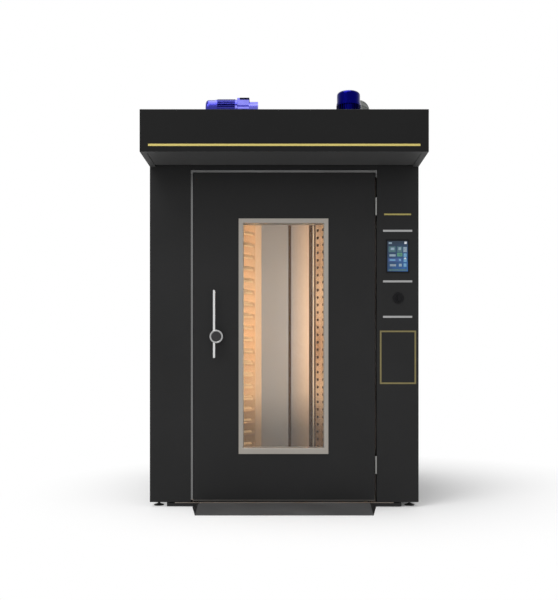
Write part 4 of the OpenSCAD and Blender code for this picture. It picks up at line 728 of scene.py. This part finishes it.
def spangle_group():
    """Galvanised sheet: crystals of zinc, each with its own tone and gloss."""
    group, given, made = new_group(
        "zinc_spangle", {"Colour": "Color", "Roughness": "Float", "Crystals": "Float"},
        {"Colour": "Color", "Roughness": "Float", "Height": "Float"})
    place = object_place(group)
    cells = put(group, "ShaderNodeTexVoronoi")
    wire(group, (place, cells.inputs["Vector"]), (given["Crystals"], cells.inputs["Scale"]))
    shade = put(group, "ShaderNodeSeparateXYZ")
    wire(group, (cells.outputs["Color"], shade.inputs[0]))
    cloud = noise(group, place, 9.0, 4.0)
    tone = times(group, spread(group, shade.outputs[0], 0.86, 1.14, 0.0, 1.0),
                 spread(group, cloud, 0.93, 1.07))
    gloss = times(group, given["Roughness"], spread(group, shade.outputs[1], 0.8, 1.2, 0.0, 1.0))
    wire(group, (brighten(group, given["Colour"], tone), made["Colour"]), (gloss, made["Roughness"]),
         (cloud, made["Height"]))
    return group


galvanised = new_finish("galvanised", spangle_group(), dict(Colour=(0.062, 0.066, 0.062), Roughness=0.45,
                                                            Crystals=110.0), Metallic=0.3, strength=0.15)
rounded_from("flue_pipe", 0.0004, galvanised)
rounded_from("flue_damper", 0.0005, galvanised, body="damper")
flue_x, flue_y, bend_z, bend_r, flue_r = 0.539, front_y + 0.700, 2.643, 0.100, 0.075
bpy.ops.object.select_all(action="DESELECT")
bpy.ops.mesh.primitive_circle_add(vertices=48, radius=flue_r, location=(flue_x, flue_y, bend_z))
elbow = bpy.context.object
settle()
bend_centre = Vector((flue_x, flue_y + bend_r, bend_z))
bpy.ops.object.mode_set(mode="EDIT")
bpy.ops.mesh.select_all(action="SELECT")
bpy.ops.mesh.spin(steps=5, angle=math.radians(90), center=bend_centre, axis=(1, 0, 0))
bpy.ops.mesh.extrude_region_move(TRANSFORM_OT_translate={"value": (0, 0.070, 0)})
bpy.ops.mesh.select_all(action="SELECT")
bpy.ops.mesh.remove_doubles(threshold=0.00001)
bpy.ops.mesh.normals_make_consistent(inside=False)
bpy.ops.mesh.select_mode(type="EDGE")
bpy.ops.mesh.select_all(action="DESELECT")
bpy.ops.object.mode_set(mode="OBJECT")
for seam in elbow.data.edges:
    ends = [elbow.data.vertices[number].co - bend_centre for number in seam.vertices]
    angles = [math.degrees(math.atan2(end.z, -end.y)) for end in ends]
    seam.select = abs(angles[0] - angles[1]) < 1.0 and 3.0 < angles[0] < 87.0
bpy.ops.object.mode_set(mode="EDIT")
bpy.ops.mesh.bevel(offset=0.0022, segments=1, affect="EDGES")
bpy.ops.mesh.select_mode(type="FACE")
bpy.ops.mesh.extrude_region_shrink_fatten(TRANSFORM_OT_shrink_fatten={"value": 0.0014})
bpy.ops.object.mode_set(mode="OBJECT")
modify(elbow, "SOLIDIFY", thickness=0.0015, offset=-1.0)
elbow.name = "flue-elbow"
smooth(elbow, 20)
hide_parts("flue_elbow")
dress(elbow, galvanised)


# ---- Door
# The door is a folded dark skin and a stainless liner round a core of mineral wool. A silicone seal on the
# liner closes on the jamb, and a lip under the door wipes the floor plate.

liner_steel = brushed("liner_steel", (0.46, 0.45, 0.43), 0.36, along_z)
drip_steel = brushed("drip_steel", (0.10, 0.095, 0.088), 0.40, along_x)
silicone = skinned("silicone", (0.02, 0.02, 0.02), 0.6, dimples=900.0)
rounded_from("door_skin", 0.0009, body_coat, body="door")
coat(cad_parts["door_core"], mineral_wool)
door_liner = rounded_from("door_liner", 0.0006, liner_steel, body="door")
drip_z, drip_y = 0.046, front_y + 0.024
paint_faces(door_liner, drip_steel, lambda at, facing: at.z < drip_z and at.y < drip_y)
rounded_from("door_gasket", 0.0030, silicone, segments=3, body="door")


# ---- Window
# Two panes of toughened glass close the two ends of a tunnel that is lined with steel. A mitred, bevelled
# stainless surround holds the outer one.

bezel_steel = brushed("bezel_steel", (0.345, 0.320, 0.288), 0.42, along_z, streaks=0.05)
rounded_from("window_bezel", 0.0008, bezel_steel, body="door")
rounded_from("window_tunnel", 0.0005, liner_steel, body="door")
pane_glass, tree, shader = new_material("pane_glass")
for key, value in {"Base Color": (0.55, 0.58, 0.57, 1.0), "Alpha": 0.03, "IOR": 1.2}.items():
    shader.inputs[key].default_value = value
smear = spread(tree, noise(tree, object_place(tree), 5.0, 4.0), 0.02, 0.09)
wire(tree, (smear, shader.inputs["Roughness"]))
rounded_from("door_glass", 0.0010, pane_glass, body="door")


# ---- Hinges
# Each of the two hinges has a leaf on the frame and a leaf on the door, bent from steel sheet and rolled
# round one turned pin.

hinge_steel = brushed("hinge_steel", (0.27, 0.27, 0.26), 0.34, along_z)
rounded_from("hinge_frame_leaves", 0.0004, hinge_steel)
rounded_from("hinge_door_leaves", 0.0004, hinge_steel, body="door")
rounded_from("hinge_pins", 0.0004, shaft_steel)


# ---- Handle
# The bar of satin stainless steel has domed ends and passes a ring-shaped hub, in which a dark disc with
# turned grooves is set. A neck and a spindle carry it, and a turned rosette covers the hole in the door.

satin = brushed("satin_steel", (0.70, 0.70, 0.70), 0.30, along_z, streaks=0.03, strength=0.03)
ring_steel = brushed("ring_steel", (0.42, 0.42, 0.42), 0.34, even, streaks=0.05, strength=0.05)
disc_coat = skinned("disc_coat", (0.020, 0.020, 0.021), 0.35, strength=0.05, Metallic=0.3)
outward = (math.radians(90), 0, 0)
handle_z = 1.075
handle_at = (-0.424, front_y, handle_z)
bar_x, bar_y, bar_r, bar_below, bar_above = -0.4385, front_y - 0.0615, 0.0083, 0.136, 0.293
bar_z = (handle_z - bar_below, handle_z + bar_above)
dome = [(bar_r * math.sin(math.radians(turn)), bar_r * 0.8 * (1 - math.cos(math.radians(turn))))
        for turn in range(12, 91, 13)]
steps = dome + [(r, bar_z[1] - bar_z[0] - h) for r, h in reversed(dome)]
bar = smooth(turned("bar", (bar_x, bar_y, bar_z[0]), (0, 0, 0), steps, sides=32), 60)
hub = smooth(turned("hub", handle_at, outward, (
    (0.0150, 0.0125), (0.0150, 0.047), (0.0180, 0.0495), (0.0380, 0.0500), (0.0410, 0.0510),
    (0.0420, 0.0535), (0.0420, 0.0725), (0.0412, 0.0748), (0.0395, 0.0758), (0.0345, 0.0758),
    (0.0325, 0.0748), (0.0316, 0.0728)), sides=64), 40)
spindle = smooth(turned("spindle", handle_at, (math.radians(-90), 0, 0), (
    (0.0098, -0.0130), (0.0098, 0.0370), (0.0090, 0.0380)), sides=32))
for part, finish in ((bar, satin), (hub, ring_steel), (spindle, satin)):
    coat(part, finish)
lever = join("handle-lever", [bar, hub, spindle])
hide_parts("handle_lever")
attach(lever, "handle")
cap = smooth(turned("handle-cap", handle_at, outward, (
    (0.0312, 0.0731), (0.0312, 0.0738), (0.0290, 0.0745), (0.0280, 0.0738), (0.0220, 0.0740),
    (0.0210, 0.0750), (0.0190, 0.0750), (0.0180, 0.0742), (0.0120, 0.0744), (0.0105, 0.0758),
    (0.0070, 0.0763)), sides=64), 25)
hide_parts("handle_cap")
dress(cap, disc_coat, "handle")
rosette = smooth(turned("handle-escutcheon", handle_at, outward, (
    (0.0320, 0.0002), (0.0320, 0.0050), (0.0312, 0.0068), (0.0285, 0.0100), (0.0262, 0.0118),
    (0.0235, 0.0120), (0.0155, 0.0120)), sides=64), 30)
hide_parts("handle_escutcheon")
dress(rosette, ring_steel, "door")
latch_steel = brushed("latch_steel", (0.42, 0.42, 0.41), 0.38, even)
rounded_from("latch_case", 0.0010, latch_steel, body="door")
rounded_from("latch_bolt", 0.0010, shaft_steel, body="latch")


# ---- Touch screen
# A moulded frame, clipped into the control column, holds a glass panel. It shows rows of plain coloured
# fields on a blue ground.

moulded = skinned("moulded_plastic", (0.007, 0.007, 0.008), 0.42, tone=0.05, strength=0.10,
                  Specular_IOR_Level=0.12)
glass_low, glass_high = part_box("touchscreen_glass")
rounded_from("touchscreen_unit", 0.0012, moulded, segments=3)
screen_glow, tree, shader = new_material("screen_glow")
ends = put(tree, "ShaderNodeSeparateXYZ")
wire(tree, (object_place(tree), ends.inputs[0]))
down = spread(tree, ends.outputs["Z"], 1.0, 0.0, glass_low[2], glass_high[2])
across = spread(tree, ends.outputs["X"], 0.25, 1.0, glass_low[0], glass_high[0])
blend = put(tree, "ShaderNodeMix", data_type="RGBA")
blend.inputs[6].default_value = (0.018, 0.028, 0.042, 1.0)
blend.inputs[7].default_value = (0.022, 0.085, 0.24, 1.0)
speck = noise(tree, object_place(tree), 55.0, 3.0)
wire(tree, (times(tree, times(tree, down, across), spread(tree, speck, 0.75, 1.25)), blend.inputs[0]),
     (blend.outputs[2], shader.inputs["Base Color"]), (blend.outputs[2], shader.inputs["Emission Color"]),
     (spread(tree, speck, 0.06, 0.14), shader.inputs["Roughness"]))
shader.inputs["Emission Strength"].default_value = 0.6
shader.inputs["Specular IOR Level"].default_value = 0.2
rounded_from("touchscreen_glass", 0.0004, screen_glow)

shades = {"white": (0.50, 0.52, 0.56), "grey": (0.18, 0.25, 0.31), "green": (0.06, 0.19, 0.13),
          "sky": (0.10, 0.24, 0.38), "blue": (0.03, 0.07, 0.20), "teal": (0.04, 0.10, 0.12)}
# Each field: its shade, then its left edge, lower edge, width and height as shares of the glass.
fields = (
    ("grey", 0.06, 0.90, 0.16, 0.055), ("white", 0.83, 0.90, 0.115, 0.075), ("teal", 0.06, 0.63, 0.34, 0.19),
    ("teal", 0.47, 0.63, 0.26, 0.19), ("grey", 0.78, 0.63, 0.17, 0.17), ("grey", 0.16, 0.70, 0.18, 0.08),
    ("grey", 0.54, 0.70, 0.12, 0.09), ("white", 0.82, 0.69, 0.10, 0.035), ("grey", 0.10, 0.49, 0.30, 0.07),
    ("green", 0.47, 0.49, 0.26, 0.12), ("sky", 0.79, 0.47, 0.15, 0.12), ("white", 0.58, 0.53, 0.09, 0.04),
    ("blue", 0.06, 0.32, 0.66, 0.11), ("sky", 0.12, 0.35, 0.27, 0.045), ("sky", 0.56, 0.34, 0.10, 0.07),
    ("sky", 0.79, 0.31, 0.15, 0.13), ("white", 0.83, 0.40, 0.07, 0.05), ("grey", 0.12, 0.165, 0.30, 0.07),
    ("white", 0.15, 0.18, 0.11, 0.045), ("white", 0.29, 0.18, 0.10, 0.045), ("grey", 0.56, 0.16, 0.14, 0.09),
    ("sky", 0.79, 0.15, 0.14, 0.11), ("teal", 0.06, 0.02, 0.88, 0.05))
screen_w, screen_h = glass_high[0] - glass_low[0], glass_high[2] - glass_low[2]
topmost, sunk = 16, 0.0004
tiles = {shade: [] for shade in shades}
for number, (shade, left, low, wide, tall) in enumerate(fields):
    proud = 0.0001 if shade in ("teal", "blue") else 0.0003 if number == topmost else 0.0002
    corners = [(glass_low[0] + x * screen_w, glass_low[1] + y, glass_low[2] + z * screen_h)
               for x, y, z in ((left, -proud, low), (left + wide, sunk, low + tall))]
    tile = boxed("field", *corners, width=0.00005, segments=1)
    tiles[shade].append(tile)
for shade, parts in tiles.items():
    lit = skinned("field_" + shade, shades[shade], 0.12, tone=0.15, dimples=120.0, clouds=160.0,
                  strength=0.0, Emission_Color=(*shades[shade], 1.0), Emission_Strength=0.35)
    dress(join("screen-fields-" + shade, parts), lit)


# ---- Main switch
# A rotary switch moulded in black plastic: a round base, held by a nut behind the panel, and a knob with a
# raised grip on its shaft.

rounded_from("main_switch", 0.0008, moulded)
rounded_from("main_switch_knob", 0.0012, moulded, segments=3, body="switch_knob")


# ---- Switchgear and cable gland
# Contactors and terminals sit on a plate behind the control column. The supply enters through a gland at the
# back.

gear_plastic = skinned("switchgear_plastic", (0.36, 0.37, 0.38), 0.45, tone=0.05, strength=0.1)
nylon = skinned("gland_nylon", (0.05, 0.05, 0.055), 0.5, tone=0.05, strength=0.1)
rounded_from("switchgear", 0.0010, gear_plastic)
rounded_from("cable_gland", 0.0008, nylon)


# ---- Studio
# A plain pale floor and a white background. Soft light comes from all round, a little stronger from behind
# the camera, and from a wide softbox overhead. A large lamp, high up at the front left, leaves a faint
# shadow on the right.

def seen_ray(tree):
    """1 for what the camera sees, directly, in a reflection or through glass."""
    ray = put(tree, "ShaderNodeLightPath").outputs
    return times(tree, times(tree, ray["Is Camera Ray"], ray["Is Glossy Ray"], "MAXIMUM"),
                 ray["Is Transmission Ray"], "MAXIMUM")


bpy.ops.mesh.primitive_plane_add(size=60.0, location=(0.0, 0.0, 0.0))
floor = bpy.context.object
floor.name = "studio-floor"
floor_paint, tree, matt = new_material("floor_paint")
matt.inputs["Base Color"].default_value = (0.93, 0.93, 0.93, 1.0)
matt.inputs["Roughness"].default_value = 0.9
matt.inputs["Specular IOR Level"].default_value = 0.0
glow = put(tree, "ShaderNodeEmission", {"Color": (1, 1, 1, 1), "Strength": 1.0})
mixer = put(tree, "ShaderNodeMixShader")
away = put(tree, "ShaderNodeVectorMath", operation="LENGTH")
beside = put(tree, "ShaderNodeVectorMath", {1: (0.45, 0.0, 0.0)}, operation="SUBTRACT")
wire(tree, (object_place(tree), beside.inputs[0]), (beside.outputs[0], away.inputs[0]))
shaded_r, white_r = 0.6, 2.4
fade = spread(tree, away.outputs["Value"], 0.0, 1.0, shaded_r, white_r)
wire(tree, (times(tree, fade, seen_ray(tree)), mixer.inputs[0]), (matt.outputs[0], mixer.inputs[1]),
     (glow.outputs[0], mixer.inputs[2]), (mixer.outputs[0], tree.nodes["Material Output"].inputs[0]))
floor.data.materials.append(floor_paint)

world = bpy.data.worlds.new("studio")
bpy.context.scene.world = world
world.use_nodes = True
tree = world.node_tree
tree.nodes.clear()
sky = put(tree, "ShaderNodeBackground", {"Color": (1, 1, 1, 1), "Strength": 1.0})
white = put(tree, "ShaderNodeBackground", {"Color": (1, 1, 1, 1), "Strength": 1.0})
mixer = put(tree, "ShaderNodeMixShader")
ends = put(tree, "ShaderNodeSeparateXYZ")
result = put(tree, "ShaderNodeOutputWorld")
wire(tree, (put(tree, "ShaderNodeTexCoord").outputs["Generated"], ends.inputs[0]))
sky_behind, sky_ahead = 0.80, 0.72
wire(tree, (spread(tree, ends.outputs["Y"], sky_behind, sky_ahead, -0.95, 0.1), sky.inputs["Strength"]),
     (seen_ray(tree), mixer.inputs[0]), (sky.outputs[0], mixer.inputs[1]),
     (white.outputs[0], mixer.inputs[2]), (mixer.outputs[0], result.inputs[0]))

bpy.ops.object.light_add(type="AREA", location=(-2.8, -4.2, 6.6))
key = bpy.context.object
key.data.size = 3.0
key.data.energy = 150.0
key.rotation_euler = (Vector((0.0, 0.0, 1.0)) - key.location).to_track_quat("-Z", "Y").to_euler()
bpy.ops.object.light_add(type="AREA", location=(0.0, -0.65, 5.8))
softbox = bpy.context.object
softbox.data.shape = "RECTANGLE"
softbox.data.size, softbox.data.size_y = 2.0, 3.3
softbox.data.energy = 118.0


# ---- Camera
# It stands 5.27 m in front of the door, with its lens 0.89 m above the floor. It is level, and its view is
# shifted up as in the photograph.

camera = bpy.data.objects.new("camera", bpy.data.cameras.new("camera"))
bpy.context.scene.collection.objects.link(camera)
from_door, lens_z = 5.270, 0.891
camera.location = (0.0, front_y - from_door, lens_z)
camera.rotation_euler = (math.radians(90.0), 0.0, 0.0)
camera.data.lens = 50.0
camera.data.sensor_width = 36.0
camera.data.shift_x = -0.0087
camera.data.shift_y = 0.11
bpy.context.scene.camera = camera
bpy.context.scene.view_settings.view_transform = "Standard"
